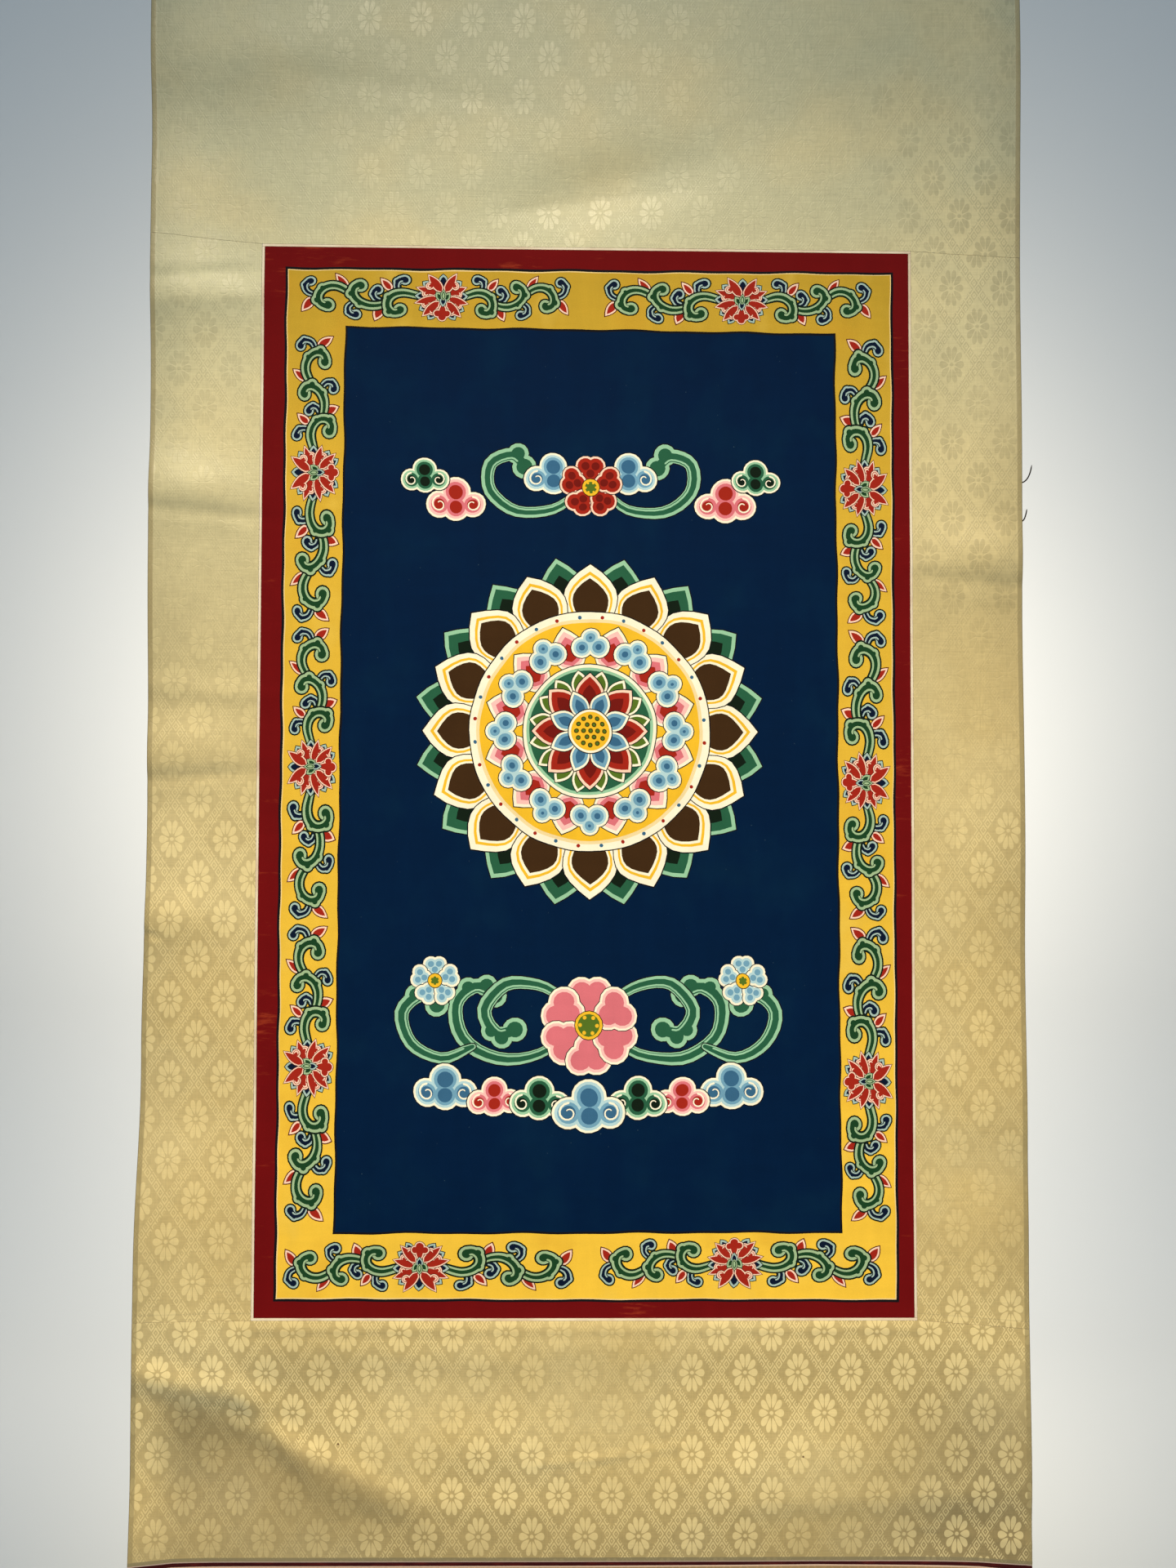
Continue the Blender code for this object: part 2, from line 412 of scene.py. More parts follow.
def giveAttribute(mesh, name, domain, values):
    values = np.asarray(values)
    whole = values.dtype.kind == "i"
    layer = mesh.attributes.new(name, "INT" if whole else "FLOAT", domain)
    layer.data.foreach_set("value", values.astype(np.int32 if whole else np.float32))


# the damask silk

damask = {
    "repeatAcross": 0.0471,
    "repeatDown": 0.0710,
    "startAcross": 0.0080,
    "startDown": -0.0155,
    "flowerHalfWidth": 0.0112,
    "flowerHalfHeight": 0.0174,
    "petals": 10,
    "petalMiddle": 0.635,
    "petalHalfLength": 0.375,
    "petalHalfWidth": 0.255,
    "eye": 0.0017,
    "fretHalfWidth": 0.21,
    "fretAcross": 0.0078,
    "fretDown": 0.0118,
    # the ground's painted light tints, greyer and bluer at the top and yellower low down, a lighter mottle,
    # and the figure's painted sheen highlight
    "warmLitTint": (200, 174, 115),
    "coolLitTint": (193, 185, 146),
    "light": (214, 193, 140),
    "sheenHighlight": (244, 226, 172),
    # the hem's tone with painted shade, and a painted shadow line at its edge
    "hem": (148, 130, 86),
    "hemEdgeShadow": (78, 64, 34),
    # across, below the top, half size
    "specks": ((-0.2162, 1.4716, 0.0012), (0.1949, 1.4824, 0.0011), (-0.2520, 1.4680, 0.0006)),
    "speckTone": (92, 56, 24),
    "lap": (126, 114, 82),
    "lapEdge": (200, 168, 150),
    # across, down, detail, shift, share of the level
    "grain": {
        "weft": (26.0, 1500.0, 2.0, 0.0, 0.22),
        "warp": (1700.0, 30.0, 2.0, 5.0, 0.18),
        "slub": (60.0, 460.0, 3.0, 9.0, 0.26),
        "slubDown": (460.0, 60.0, 3.0, 6.0, 0.26),
        "mottled": (38.0, 46.0, 3.0, 4.2, 0.20),
    },
    "thread": 0.00035,
    "fretShare": 0.85,
    "figureLevel": 0.26,
}


def damaskFigure(finish):
    # the flower heads and the fretted bands between them, as two masks
    x = finish.x - finish.attribute("weaveAcross")
    z = finish.z - finish.attribute("weaveDown")
    u = (x - damask["startAcross"]) / damask["repeatAcross"]
    v = (z - damask["startDown"]) / damask["repeatDown"]
    uFirst, vFirst = (u + 0.5).fraction() - 0.5, (v + 0.5).fraction() - 0.5
    uSecond, vSecond = u.fraction() - 0.5, v.fraction() - 0.5
    reach = (abs(uFirst) + abs(vFirst)) * 2
    nearFirst = reach < 1.0
    across = (uSecond + (uFirst - uSecond) * nearFirst) * damask["repeatAcross"]
    down = (vSecond + (vFirst - vSecond) * nearFirst) * damask["repeatDown"]
    nearest = reach.lower(2 - reach)
    ex, ez = across / damask["flowerHalfWidth"], down / damask["flowerHalfHeight"]
    radius = (ex * ex + ez * ez) ** 0.5
    turn = ez.sum("ARCTAN2", ez, ex) * (damask["petals"] / (2 * math.pi))
    offAxis = ((turn + 0.5).fraction() - 0.5) * radius * (2 * math.pi / damask["petals"])
    along = (radius - damask["petalMiddle"]) / damask["petalHalfLength"]
    aside = offAxis / (damask["petalHalfWidth"] * (0.10 + 0.95 * radius))
    petal = (along * along + aside * aside).ramp(1.10, 0.82)
    eye = (across * across + down * down) ** 0.5
    flower = petal.upper(eye.ramp(damask["eye"] * 1.15, damask["eye"] * 0.85))
    band = abs(nearest - 1).ramp(damask["fretHalfWidth"] + 0.03, damask["fretHalfWidth"] - 0.03)
    fu = (x / damask["fretAcross"]).fraction() - 0.5
    fv = (z / damask["fretDown"]).fraction() - 0.5
    ring = (abs(fu) + abs(fv)) * 2
    lines = abs((ring * 1.5).fraction() - 0.5).ramp(0.17, 0.33)
    return flower, band * (1.15 * lines - 0.05)


def hollowMask(finish):
    # the part at the lower left that falls back and takes less light
    edge = finish.below - finish.x * 0.42
    outer = (finish.x + 0.398).ramp(0.004, 0.050)
    low = edge.ramp(1.572, 1.592) * (1 - finish.below.ramp(1.490, 1.600))
    return low * (finish.x * -1).ramp(0.05, 0.22) * outer * (1 - finish.attribute("reverse"))


def paintedFigureSheen(finish):
    # how the figure stands out, from place to place: a painted sheen that makes it lighter than the ground
    # low down and darker at the upper right, as the light falls on the satin
    below = finish.below
    patches = finish.noise(5.0, 6.0, 1.0, 0.5, 3.1).ramp(0.30, 0.64)
    low = below.ramp(1.30, 1.40) * 0.36
    middle = below.ramp(0.62, 1.0) * (1 - below.ramp(1.28, 1.40)) * 0.20
    upperRight = finish.x.ramp(0.20, 0.36) * (1 - below.ramp(0.62, 0.95)) * -0.20
    upperLeft = (finish.x * -1).ramp(0.22, 0.36) * (1 - below.ramp(0.55, 0.8)) * -0.12
    quiet = 1 - hollowMask(finish) * 0.70
    plainer = 1 - finish.attribute("reverse") * 0.75
    return ((low + middle + upperRight + upperLeft) * quiet * (0.35 + 0.80 * patches) + 0.02) * plainer


def silkLight(finish):
    # where the silk takes less light, and a little more of it beside the picture's upper part
    x, below = finish.x, finish.below
    sides = abs(x).ramp(0.345, 0.396) * below.ramp(1.40, 1.34)
    upper = below.ramp(0.34, 0.46) * below.ramp(0.78, 0.58)
    top = below.ramp(0.34, 0.24)
    bottom = below.ramp(1.48, 1.57)
    corner = x.ramp(0.20, 0.36) * below.ramp(1.38, 1.46) * (1 - finish.attribute("reverse"))
    level = (1 - sides * 0.10) * (1 + upper * 0.10 - top * 0.12)
    return level * (1 - hollowMask(finish) * 0.42) * (1 - bottom * 0.25) * (1 - corner * 0.34)


def edgeShades(finish, colour, rows):
    # the hems and laps in their tones: attribute, from, to, share, tone
    for name, start, end, share, tone in rows:
        colour = finish.blend(finish.attribute(name).ramp(start, end) * share, colour, linear(damask[tone]))
    return colour


def silkFinish():
    finish = Finish("damask_silk")
    flower, fret = damaskFigure(finish)
    figure = flower + fret * damask["fretShare"]
    # how strongly the figure's painted sheen shows, from place to place
    strength = paintedFigureSheen(finish)
    grain, level = finish.grain(damask["grain"])
    mottled, below = grain["mottled"], finish.below
    cloudy = finish.noise(5.5, 7.0, 3.0, 0.55, 1.7)
    # painted light: the ground goes greyer and bluer towards the top and yellower low down and to the right,
    # as if lit cooler from above and warmer from below
    warmLightShare = (below + finish.x.upper(0.0) * 0.5).ramp(0.30, 1.15)
    ground = finish.blend(warmLightShare, linear(damask["coolLitTint"]), linear(damask["warmLitTint"]))
    ground = finish.blend(cloudy.ramp(0.42, 0.68) * 0.5, ground, linear(damask["light"]))
    level = (level + strength * (figure - damask["figureLevel"])) * silkLight(finish)
    colour = finish.brightened(ground, level)
    # painted sheen: where the figure shines it is blended towards a pale highlight tone
    colour = finish.blend((strength * figure).upper(0.0) * 0.75, colour, linear(damask["sheenHighlight"]))
    for x, down, size in damask["specks"]:
        away = ((finish.x - x) * (finish.x - x) + (below - down) * (below - down)) ** 0.5
        colour = finish.blend(away.ramp(size, size * 0.6) * 0.85, colour, linear(damask["speckTone"]))
    # darker along the hems: partly the turned edge's own tone and partly painted shade, with a painted shadow
    # line at the very edge
    turned = (("hem", 0.05, 0.5, 0.45 + 0.5 * mottled, "hem"), ("hem", 0.6, 0.95, 0.9, "hemEdgeShadow"))
    joined = (("lap", 0.05, 0.5, 0.85, "lap"), ("lap", 0.7, 0.95, 0.9, "lapEdge"))
    colour = edgeShades(finish, colour, turned + joined)
    relief = (grain["weft"] + grain["warp"]) * 0.5 + grain["slub"] * 0.4 + figure * 0.35
    return finish.shade(
        Base_Color=colour,
        Roughness=0.50 + (mottled - 0.5) * 0.20 - figure * 0.10,
        Specular_IOR_Level=0.42,
        Sheen_Weight=0.18,
        Sheen_Roughness=0.45,
        Sheen_Tint=(1.0, 0.95, 0.82, 1.0),
        Normal=finish.bump(relief, damask["thread"], 0.55),
    )


earthSilk = {
    "grain": {"weft": (30.0, 1300.0, 2.0, 0.0, 0.30), "warp": (1500.0, 30.0, 2.0, 5.0, 0.24)},
    "lozengeAcross": 0.0150,
    "lozengeDown": 0.0210,
    "dark": (150, 114, 68),
    "light": (168, 132, 84),
    "hem": (96, 66, 44),
}


def earthFinish():
    finish = Finish("earth_brocade")
    grain, level = finish.grain(earthSilk["grain"])
    cloudy = finish.noise(6.0, 8.0, 3.0, 0.55, 2.3)
    u = (finish.x / earthSilk["lozengeAcross"]).fraction() - 0.5
    v = (finish.z / earthSilk["lozengeDown"]).fraction() - 0.5
    lozenge = (abs(u) + abs(v)) * 2
    figure = abs(lozenge - 1.0).ramp(0.16, 0.08).upper(lozenge.ramp(0.34, 0.24))
    ground = finish.blend(cloudy.ramp(0.35, 0.7), linear(earthSilk["dark"]), linear(earthSilk["light"]))
    colour = finish.brightened(ground, level + figure * 0.16)
    colour = edgeShades(finish, colour, (("lap", 0.7, 0.95, 0.9, "lapEdge"),))
    # darker along the hems, partly painted shade as on the silk
    colour = finish.blend(finish.attribute("hem") * 0.6, colour, linear(earthSilk["hem"]))
    return finish.shade(
        Base_Color=colour,
        Roughness=0.55 + (cloudy - 0.5) * 0.15,
        Specular_IOR_Level=0.4,
        Sheen_Weight=0.15,
        Normal=finish.bump(grain["weft"] + grain["warp"] + figure * 0.5, 0.0003, 0.6),
    )


redLine = {
    "grain": {"weft": (60.0, 1600.0, 2.0, 0.0, 0.4), "warp": (1600.0, 60.0, 2.0, 3.0, 0.4)},
    "dark": (56, 6, 6),
    "worn": (88, 20, 14),
}


def redSilkFinish():
    finish = Finish("dark_red_silk")
    grain, level = finish.grain(redLine["grain"])
    worn = finish.noise(45.0, 300.0, 3.0, 0.6, 7.0)
    colour = finish.blend(worn.ramp(0.45, 0.75), linear(redLine["dark"]), linear(redLine["worn"]))
    return finish.shade(
        Base_Color=finish.brightened(colour, level),
        Roughness=0.62 + (worn - 0.5) * 0.2,
        Specular_IOR_Level=0.15,
        Normal=finish.bump(grain["weft"] + grain["warp"], 0.0003, 0.7),
    )


palePaper = {"clean": (232, 214, 186), "stained": (214, 186, 156), "back": (206, 186, 150)}


def palePaperFinish():
    finish = Finish("pale_paper")
    fibres = finish.noise(260.0, 420.0, 4.0, 0.65)
    stain = finish.noise(22.0, 30.0, 3.0, 0.6, 2.0)
    colour = finish.blend(stain.ramp(0.38, 0.7), linear(palePaper["clean"]), linear(palePaper["stained"]))
    return finish.shade(
        Base_Color=finish.brightened(colour, 0.93 + fibres * 0.16),
        Roughness=0.72 + (fibres - 0.5) * 0.2,
        Normal=finish.bump(fibres, 0.0002, 0.6),
    )


# paint

pigments = {
    "gold": (226, 180, 58),
    "redGround": (108, 13, 15),
    "field": (2, 27, 58),
    "ink": (22, 20, 24),
    "edgeCream": (240, 206, 140),
    "red": (160, 38, 25),
    "redDeep": (112, 24, 18),
    "pinkCream": (248, 208, 184),
    "green": (28, 64, 36),
    "greenPale": (160, 184, 142),
    "greenLine": (18, 30, 20),
    "navy": (12, 24, 46),
    "navyPale": (166, 188, 180),
    "wine": (84, 24, 16),
    "cream": (250, 238, 212),
    "creamDeep": (240, 214, 160),
    "yellow": (238, 184, 44),
    "brown": (62, 40, 20),
    "sky": (112, 158, 184),
    "skyPale": (178, 208, 214),
    "skyDeep": (56, 100, 134),
    "rose": (216, 112, 122),
    "rosePale": (246, 190, 184),
    "moss": (84, 110, 36),
    "jade": (40, 92, 66),
    "jadePale": (150, 196, 160),
}
toneNames = list(pigments)
groundKinds = {"redGround": 1.0, "gold": 2.0, "field": 3.0}


def paintFinish():
    finish = Finish("painted_paper")
    pigment = finish.attribute("pigment", "Color")
    kind = finish.attribute("ground")
    onRed = abs(kind - 1) < 0.5
    onGold = abs(kind - 2) < 0.5
    onField = abs(kind - 3) < 0.5
    brushed = finish.noise(60.0, 13.0, 4.0, 0.6)
    level = finish.noise(13.0, 75.0, 4.0, 0.6, 2.0)
    grain = finish.noise(900.0, 900.0, 2.0, 0.6, 6.0)
    pools = finish.noise(15.0, 13.0, 3.0, 0.55, 8.0)
    rubbed = finish.noise(34.0, 240.0, 4.0, 0.65, 4.0) * finish.noise(9.0, 14.0, 2.0, 0.5, 1.0)
    specks = finish.noise(420.0, 300.0, 2.0, 0.5, 3.3)
    depthAndGoldLight = 0.90 + (brushed - 0.5) * 0.22 + (level - 0.5) * 0.20 + (grain - 0.5) * 0.14 + pools * 0.18
    # painted light on the gold: lighter low down and darker near the top, as the light falls off upwards
    depthAndGoldLight = depthAndGoldLight * (1 + onGold * ((finish.below - 0.86) * 0.40 - finish.below.ramp(0.62, 0.42) * 0.10))
    colour = finish.brightened(pigment, depthAndGoldLight)
    for share, tone in (
        (onGold * pools.ramp(0.50, 0.72) * 0.35, (206, 148, 40)),
        (onGold * (1 - pools.ramp(0.28, 0.46)) * 0.35, (240, 204, 96)),
        (onRed * rubbed.ramp(0.33, 0.46) * 0.45, (172, 66, 36)),
        (onField * pools.ramp(0.45, 0.75) * 0.30, (10, 44, 66)),
        (onField * specks.ramp(0.74, 0.80) * 0.30, (120, 150, 160)),
    ):
        colour = finish.blend(share, colour, linear(tone))
    return finish.shade(
        Base_Color=colour,
        Roughness=0.74 + (pools - 0.5) * 0.20,
        Specular_IOR_Level=0.035,
        Normal=finish.bump(grain * 0.6 + brushed * 0.8, 0.00025, 0.5),
    )


# strokes are laid one over another: millimetres, along the band and outwards from it
# how a leaf looks: the tones of its line, rim and body, then its width and its rim at the start and the end
# each lobe: the way back from the leaf's end, out from its middle, and its radius
leafLook = {
    "tones": ("greenLine", "greenPale", "green"),
    "widths": (3.4, 6.8),
    "rim": (1.9, 2.5),
    "line": 1.45,
    "inside": 0.0,
    "shine": 1.7,
    "shinePlace": 0.27,
    "lobes": ((0.0, -0.8, 3.8), (9.8, 2.5, 2.7), (20.8, 2.2, 2.0)),
}
hookLook = {
    "tones": ("greenLine", "navyPale", "navy"),
    "widths": (3.4, 5.4),
    "rim": (1.0, 1.7),
    "line": 1.35,
    "inside": 0.0,
    "shine": 1.3,
    "shinePlace": 0.20,
    "lobes": ((0.0, -0.6, 3.0), (6.4, 0.9, 2.2)),
}
footLook = {
    "tones": ("ink", "jadePale", "jade"),
    "widths": (3.4, 9.6),
    "rim": (1.2, 3.6),
    "line": 1.0,
    "inside": 0.9,
    "shine": 1.6,
    "shinePlace": 0.28,
    "lobes": ((0.0, -0.8, 7.2), (12.0, 3.4, 6.4), (24.5, 3.0, 5.4)),
}
crownLook = {**footLook, "widths": (3.0, 8.4), "lobes": footLook["lobes"][:2]}


def curveThrough(points, perSpan=4):
    p = np.array(points, float)
    p = np.vstack([2 * p[0] - p[1], p, 2 * p[-1] - p[-2]])
    f = np.linspace(0, 1, perSpan, endpoint=False)[:, None]
    spans = [
        0.5
        * (
            2 * b
            + (c - a) * f
            + (2 * a - 5 * b + 4 * c - d) * f**2
            + (3 * b - a - 3 * c + d) * f**3
        )
        for a, b, c, d in zip(p, p[1:], p[2:], p[3:])
    ]
    return np.vstack([*spans, p[-2]])


def lengthsAlong(path):
    return np.concatenate([[0], np.cumsum(np.linalg.norm(np.diff(path, axis=0), axis=1))])


def acrossPath(path):
    along = np.gradient(path, axis=0)
    along /= np.linalg.norm(along, axis=1)[:, None]
    return np.stack([-along[:, 1], along[:, 0]], axis=1)


def disc(centre, radius, steps=12):
    turns = np.linspace(0, 2 * math.pi, steps, endpoint=False)[:, None]
    return np.array(centre) + radius * np.hstack([np.cos(turns), np.sin(turns)])


def blade(base, tip, width, belly=0.42, grow=0.0, steps=7):
    # a pointed petal or bud, widest at belly
    base, tip = np.array(base, float), np.array(tip, float)
    length = math.dist(base, tip)
    along = (tip - base) / length
    across = np.array([-along[1], along[0]])
    u = np.linspace(0, 1, steps)
    towardsTip = np.clip((u - belly) / (1 - belly), 0, 1)
    rounded = np.sqrt(np.clip(1 - (1 - u / belly) ** 2, 0, 1))
    wide = np.where(u < belly, rounded, np.cos(towardsTip * math.pi / 2) ** 0.9)
    wide = (wide * (width / 2 + grow))[:, None]
    line = base - along * grow + np.outer(u * (length + 2.6 * grow), along)
    return np.vstack([line + across * wide, (line - across * wide)[-2:0:-1]])


class Strokes:
    def __init__(self):
        self.laid = []

    def stroke(self, outline, tone):
        self.laid.append((np.asarray(outline, float), tone))

    def layered(self, outlinesFor, layers):
        for tone, grow in layers:
            for outline in outlinesFor(grow):
                self.stroke(outline, tone)

    def petal(self, base, tip, width, belly, layers, steps=7):
        self.layered(lambda grow: [blade(base, tip, width, belly, grow, steps)], layers)

    def spot(self, centre, radius, steps, layers):
        self.layered(lambda grow: [disc(centre, radius + grow, steps)], layers)

    def ribbon(self, path, width, shift, tone, capSteps=3):
        # a stroke along a path, round at both ends
        across = acrossPath(path)
        wide = (np.asarray(width) * np.ones(len(path)) / 2)[:, None]
        middle = path + across * (np.asarray(shift) * np.ones(len(path)))[:, None]
        turns = np.linspace(0, math.pi, capSteps + 2)[1:-1, None]

        def roundEnd(at, way):
            along = np.array([across[at, 1], -across[at, 0]]) * way
            return middle[at] + wide[at] * (way * across[at] * np.cos(turns) + along * np.sin(turns))

        outline = [middle + across * wide, roundEnd(-1, 1), (middle - across * wide)[::-1], roundEnd(0, -1)]
        self.stroke(np.vstack(outline), tone)

    def leaf(self, points, side, look):
        # a scrolling leaf: dark line, pale rim, dark body and a line of light, with lobes round its end
        path = curveThrough(points)
        lengths = lengthsAlong(path)
        f = np.sqrt(lengths / lengths[-1])
        width, rim = (start + (end - start) * f for start, end in (look["widths"], look["rim"]))
        lineTone, rimTone, bodyTone = look["tones"]
        across = acrossPath(path)
        bumps = []
        for back, out, radius in look["lobes"]:
            i = int(np.argmin(np.abs(lengths - (lengths[-1] - back))))
            bumps.append((path[i] + across[i] * side * out, radius))
        for tone, outside, inside in (
            (lineTone, rim + look["line"], look["inside"] + look["line"]),
            (rimTone, rim, look["inside"]),
            (bodyTone, 0 * rim, 0.0),
        ):
            self.ribbon(path, width + outside + inside, side * (outside - inside) / 2, tone)
            for centre, radius in bumps:
                self.stroke(disc(centre, radius + outside[-1], 14), tone)
        # the line of light keeps inside a leaf that is thin there, and stops short of both ends
        inner = slice(1, -2)
        thin = np.minimum(look["shine"], 0.38 * width)[inner]
        self.ribbon(path[inner], thin, (-side * look["shinePlace"] * width)[inner], rimTone, 1)


# one half of the border's spray, from its flower out
border = {
    # points and which way the leaf turns
    "leaves": (
        (
            (
                *((18, -2), (26, 0.8), (35, 2.8), (43, 1.2)),
                *((48.4, -3.8), (48.8, -10.2), (44.6, -14.6), (38.6, -14.0)),
            ),
            1,
        ),
        (((52, -6), (60, -8.2), (68, -8.0), (75.6, -4.4), (79.8, 1.4), (79.4, 7.4), (74.6, 10.8)), -1),
        (
            (
                *((82, 0.4), (88, 5.2), (95, 8.4), (102, 8.2)),
                *((108, 4.6), (111, -1.2), (109.6, -7), (103.6, -9.6)),
            ),
            1,
        ),
    ),
    "hooks": (
        (((39.5, 6.0), (40.8, 10.4), (39.4, 15.0), (34.6, 17.0)), -1),
        (((56.0, -4.0), (60.8, -1.8), (62.0, 2.8), (58.8, 6.4)), -1),
        (((80.5, -7.0), (84.4, -11.4), (83.2, -16.6), (78.4, -18.6)), 1),
        (((116.0, 1.0), (121.6, 4.4), (123.0, 10.4), (119.0, 14.8)), -1),
    ),
    # base, tip, width
    "buds": (
        ((46.0, 6.0), (55.2, 16.4), 6.8),
        ((56.0, -10.0), (61.0, -22.4), 8.4),
        ((86.0, 8.0), (96.0, 20.6), 7.0),
        ((117.0, -2.5), (126.4, -15.5), 8.0),
    ),
    "budLayers": (("wine", 1.35), ("pinkCream", 0.5), ("red", -1.0)),
    "navyTips": (
        ((0, 8), (0, 21.4), 8.4),
        ((8, 7), (18.8, 14.8), 7.6),
        ((12, 0.5), (25.0, 0.6), 7.2),
        ((9, -7), (20.6, -13.8), 7.6),
        ((5, -12), (12.6, -22.4), 7.0),
    ),
    "tipLayers": (("greenLine", 0.7), ("navyPale", 0.1), ("navy", -1.3)),
    # base, tip, width, side lobe and its radius
    "petals": (
        ((5.0, 2.6), (23.2, 9.0), 6.2, (15.4, 2.6), 2.9),
        ((5.0, -1.5), (24.0, -6.6), 6.2, (15.2, -8.2), 2.9),
        ((1.6, 4.5), (13.4, 21.2), 7.4, (12.4, 10.4), 3.0),
        ((3.6, -5.0), (17.2, -19.0), 6.6, (9.0, -14.4), 3.1),
    ),
    "petalLayers": (("wine", 1.5), ("pinkCream", 0.95), ("red", -0.1)),
    "lowPetal": ((0, -22.5), (0, -6), 6.5),
    "lowLobes": (((-4.4, -16.2), 3.0), ((4.4, -16.2), 3.0), ((0, -19.4), 3.6)),
    "lowLayers": (("wine", 1.5), ("pinkCream", 0.95), ("red", -0.05)),
    # base, tip, width, belly, layers
    "heart": (
        ((0.6, -4.0), (6.4, 3.4), 5.4, 0.5, (("greenLine", 0.9), ("greenPale", 0.4), ("green", -0.9))),
        ((-0.6, -4.0), (-6.4, 3.4), 5.4, 0.5, (("greenLine", 0.9), ("greenPale", 0.4), ("green", -0.9))),
        ((0, -1.0), (0, -9.0), 5.2, 0.4, (("greenLine", 0.9), ("navyPale", 0.4), ("navy", -0.7))),
        (
            *((0, -3.4), (0, 6.2), 5.0, 0.5),
            (("greenLine", 0.6), ("greenPale", 0.1), ("green", -0.7), ("greenPale", -1.5)),
        ),
    ),
    # where the pale comma in a petal's side lobe runs, in degrees, and its widths
    "commaTurns": (-150, -95, -40, 15, 60),
    "commaWidths": (0.7, 1.2, 1.4, 1.2, 0.7),
}


def borderPetal(made, side, base, tip, width, lobe, radius):
    # a petal with a side lobe, in which a pale comma curls
    flip = np.array([side, 1])
    lobeAt = flip * lobe
    made.layered(
        lambda grow: [disc(lobeAt, radius + grow), blade(flip * base, flip * tip, width, 0.42, grow)],
        border["petalLayers"],
    )
    away = math.atan2(*(lobeAt - flip * base)[::-1])
    way = side * (1 if tip[1] * lobe[0] > lobe[1] * tip[0] else -1)
    turns = away + way * np.radians(border["commaTurns"])
    comma = lobeAt + radius * 0.62 * np.stack([np.cos(turns), np.sin(turns)], axis=1)
    made.ribbon(comma, border["commaWidths"], 0, "pinkCream", 1)


def borderMotif():
    made = Strokes()
    for side in (-1, 1):
        flip = np.array([side, 1])
        for points, way in border["hooks"]:
            made.leaf(flip * points, way * side, hookLook)
        for base, tip, width in border["buds"]:
            made.petal(flip * base, flip * tip, width, 0.42, border["budLayers"])
        for points, way in reversed(border["leaves"]):
            made.leaf(flip * points, way * side, leafLook)
    for base, tip, width in border["navyTips"]:
        for side in (1, -1) if base[0] else (1,):
            flip = np.array([side, 1])
            made.petal(flip * base, flip * tip, width, 0.6, border["tipLayers"])
    for row in border["petals"]:
        for side in (1, -1):
            borderPetal(made, side, *row)
    made.layered(
        lambda grow: [disc(centre, radius + grow) for centre, radius in border["lowLobes"]]
        + [blade(*border["lowPetal"], 0.4, grow)],
        border["lowLayers"],
    )
    for row in border["heart"]:
        made.petal(*row)
    return made


# the ornament in the middle of the blue field: a rosette between two sprays


def polar(centre, radius, degrees):
    turn = math.radians(degrees)
    return (centre[0] + radius * math.cos(turn), centre[1] + radius * math.sin(turn))


def ringOfBlades(made, centre, count, start, inner, outer, width, layers):
    for k in range(count):
        turn = start + 360 * k / count
        made.petal(polar(centre, inner, turn), polar(centre, outer, turn), width, 0.5, layers, 9)


cloudTones = {
    "blue": (("ink", 1.5), ("cream", 0.6), ("skyPale", -1.6), ("sky", -4.2), ("skyDeep", -7.4)),
    "rose": (("ink", 1.5), ("cream", 0.6), ("rosePale", -1.6), ("rose", -4.4), ("red", -7.8)),
    "green": (("ink", 1.5), ("cream", 0.6), ("jadePale", -1.6), ("jade", -4.4), ("greenLine", -8.0)),
}
blossomTones = {
    "rose": (("ink", 0.9), ("cream", 0.2), ("rosePale", -1.8), ("rose", -4.4)),
    "blue": (("ink", 0.9), ("cream", 0.2), ("skyPale", -1.8), ("sky", -4.0)),
    "red": (("ink", 0.9), ("pinkCream", 0.2), ("red", -1.6), ("redDeep", -5.0)),
}


def cloud(made, centre, size, kind):
    # a cloud head: a top lobe and two that curl
    lobes = ((0, 0.42, 0.52), (-0.62, -0.04, 0.46), (0.62, -0.04, 0.46), (0, -0.12, 0.50))
    scale = size / 30
    for tone, grow in cloudTones[kind]:
        more = grow if grow > 0 else grow * scale
        for x, y, r in lobes:
            if size * r + more > 0.4:
                made.stroke(disc((centre[0] + size * x, centre[1] + size * y), size * r + more, 18), tone)
    for side in (-1, 1):
        part = np.linspace(0, 1, 16)
        radius = size * 0.30 * (1 - 0.72 * part)
        turn = math.pi / 2 - side * part * 2.2 * math.pi
        curl = np.array((centre[0] + 0.62 * side * size, centre[1] - 0.04 * size))
        curl = curl + np.stack([radius * np.cos(turn), radius * np.sin(turn)], axis=1)
        made.ribbon(curl, (1.5 * scale + 0.5) * (1 - 0.5 * part), 0, "cream", 1)


def blossom(made, centre, size, petals, kind):
    # each petal is three discs; a seeded heart lies over them
    for k in range(petals):
        turn = 90 + 360 * k / petals
        spots = ((0.62, -13), (0.62, 13), (0.40, 0))
        made.layered(
            lambda grow: [
                disc(polar(centre, size * far, turn + aside), size * 0.27 + grow, 14)
                for far, aside in spots
                if size * 0.27 + grow > 0.3
            ],
            blossomTones[kind],
        )
    made.spot(centre, size * 0.24, 16, (("ink", 0.9), ("yellow", 0.2), ("moss", -2.2)))
    for k in range(6):
        made.stroke(disc(polar(centre, size * 0.15, 60 * k), size * 0.035, 8), "yellow")


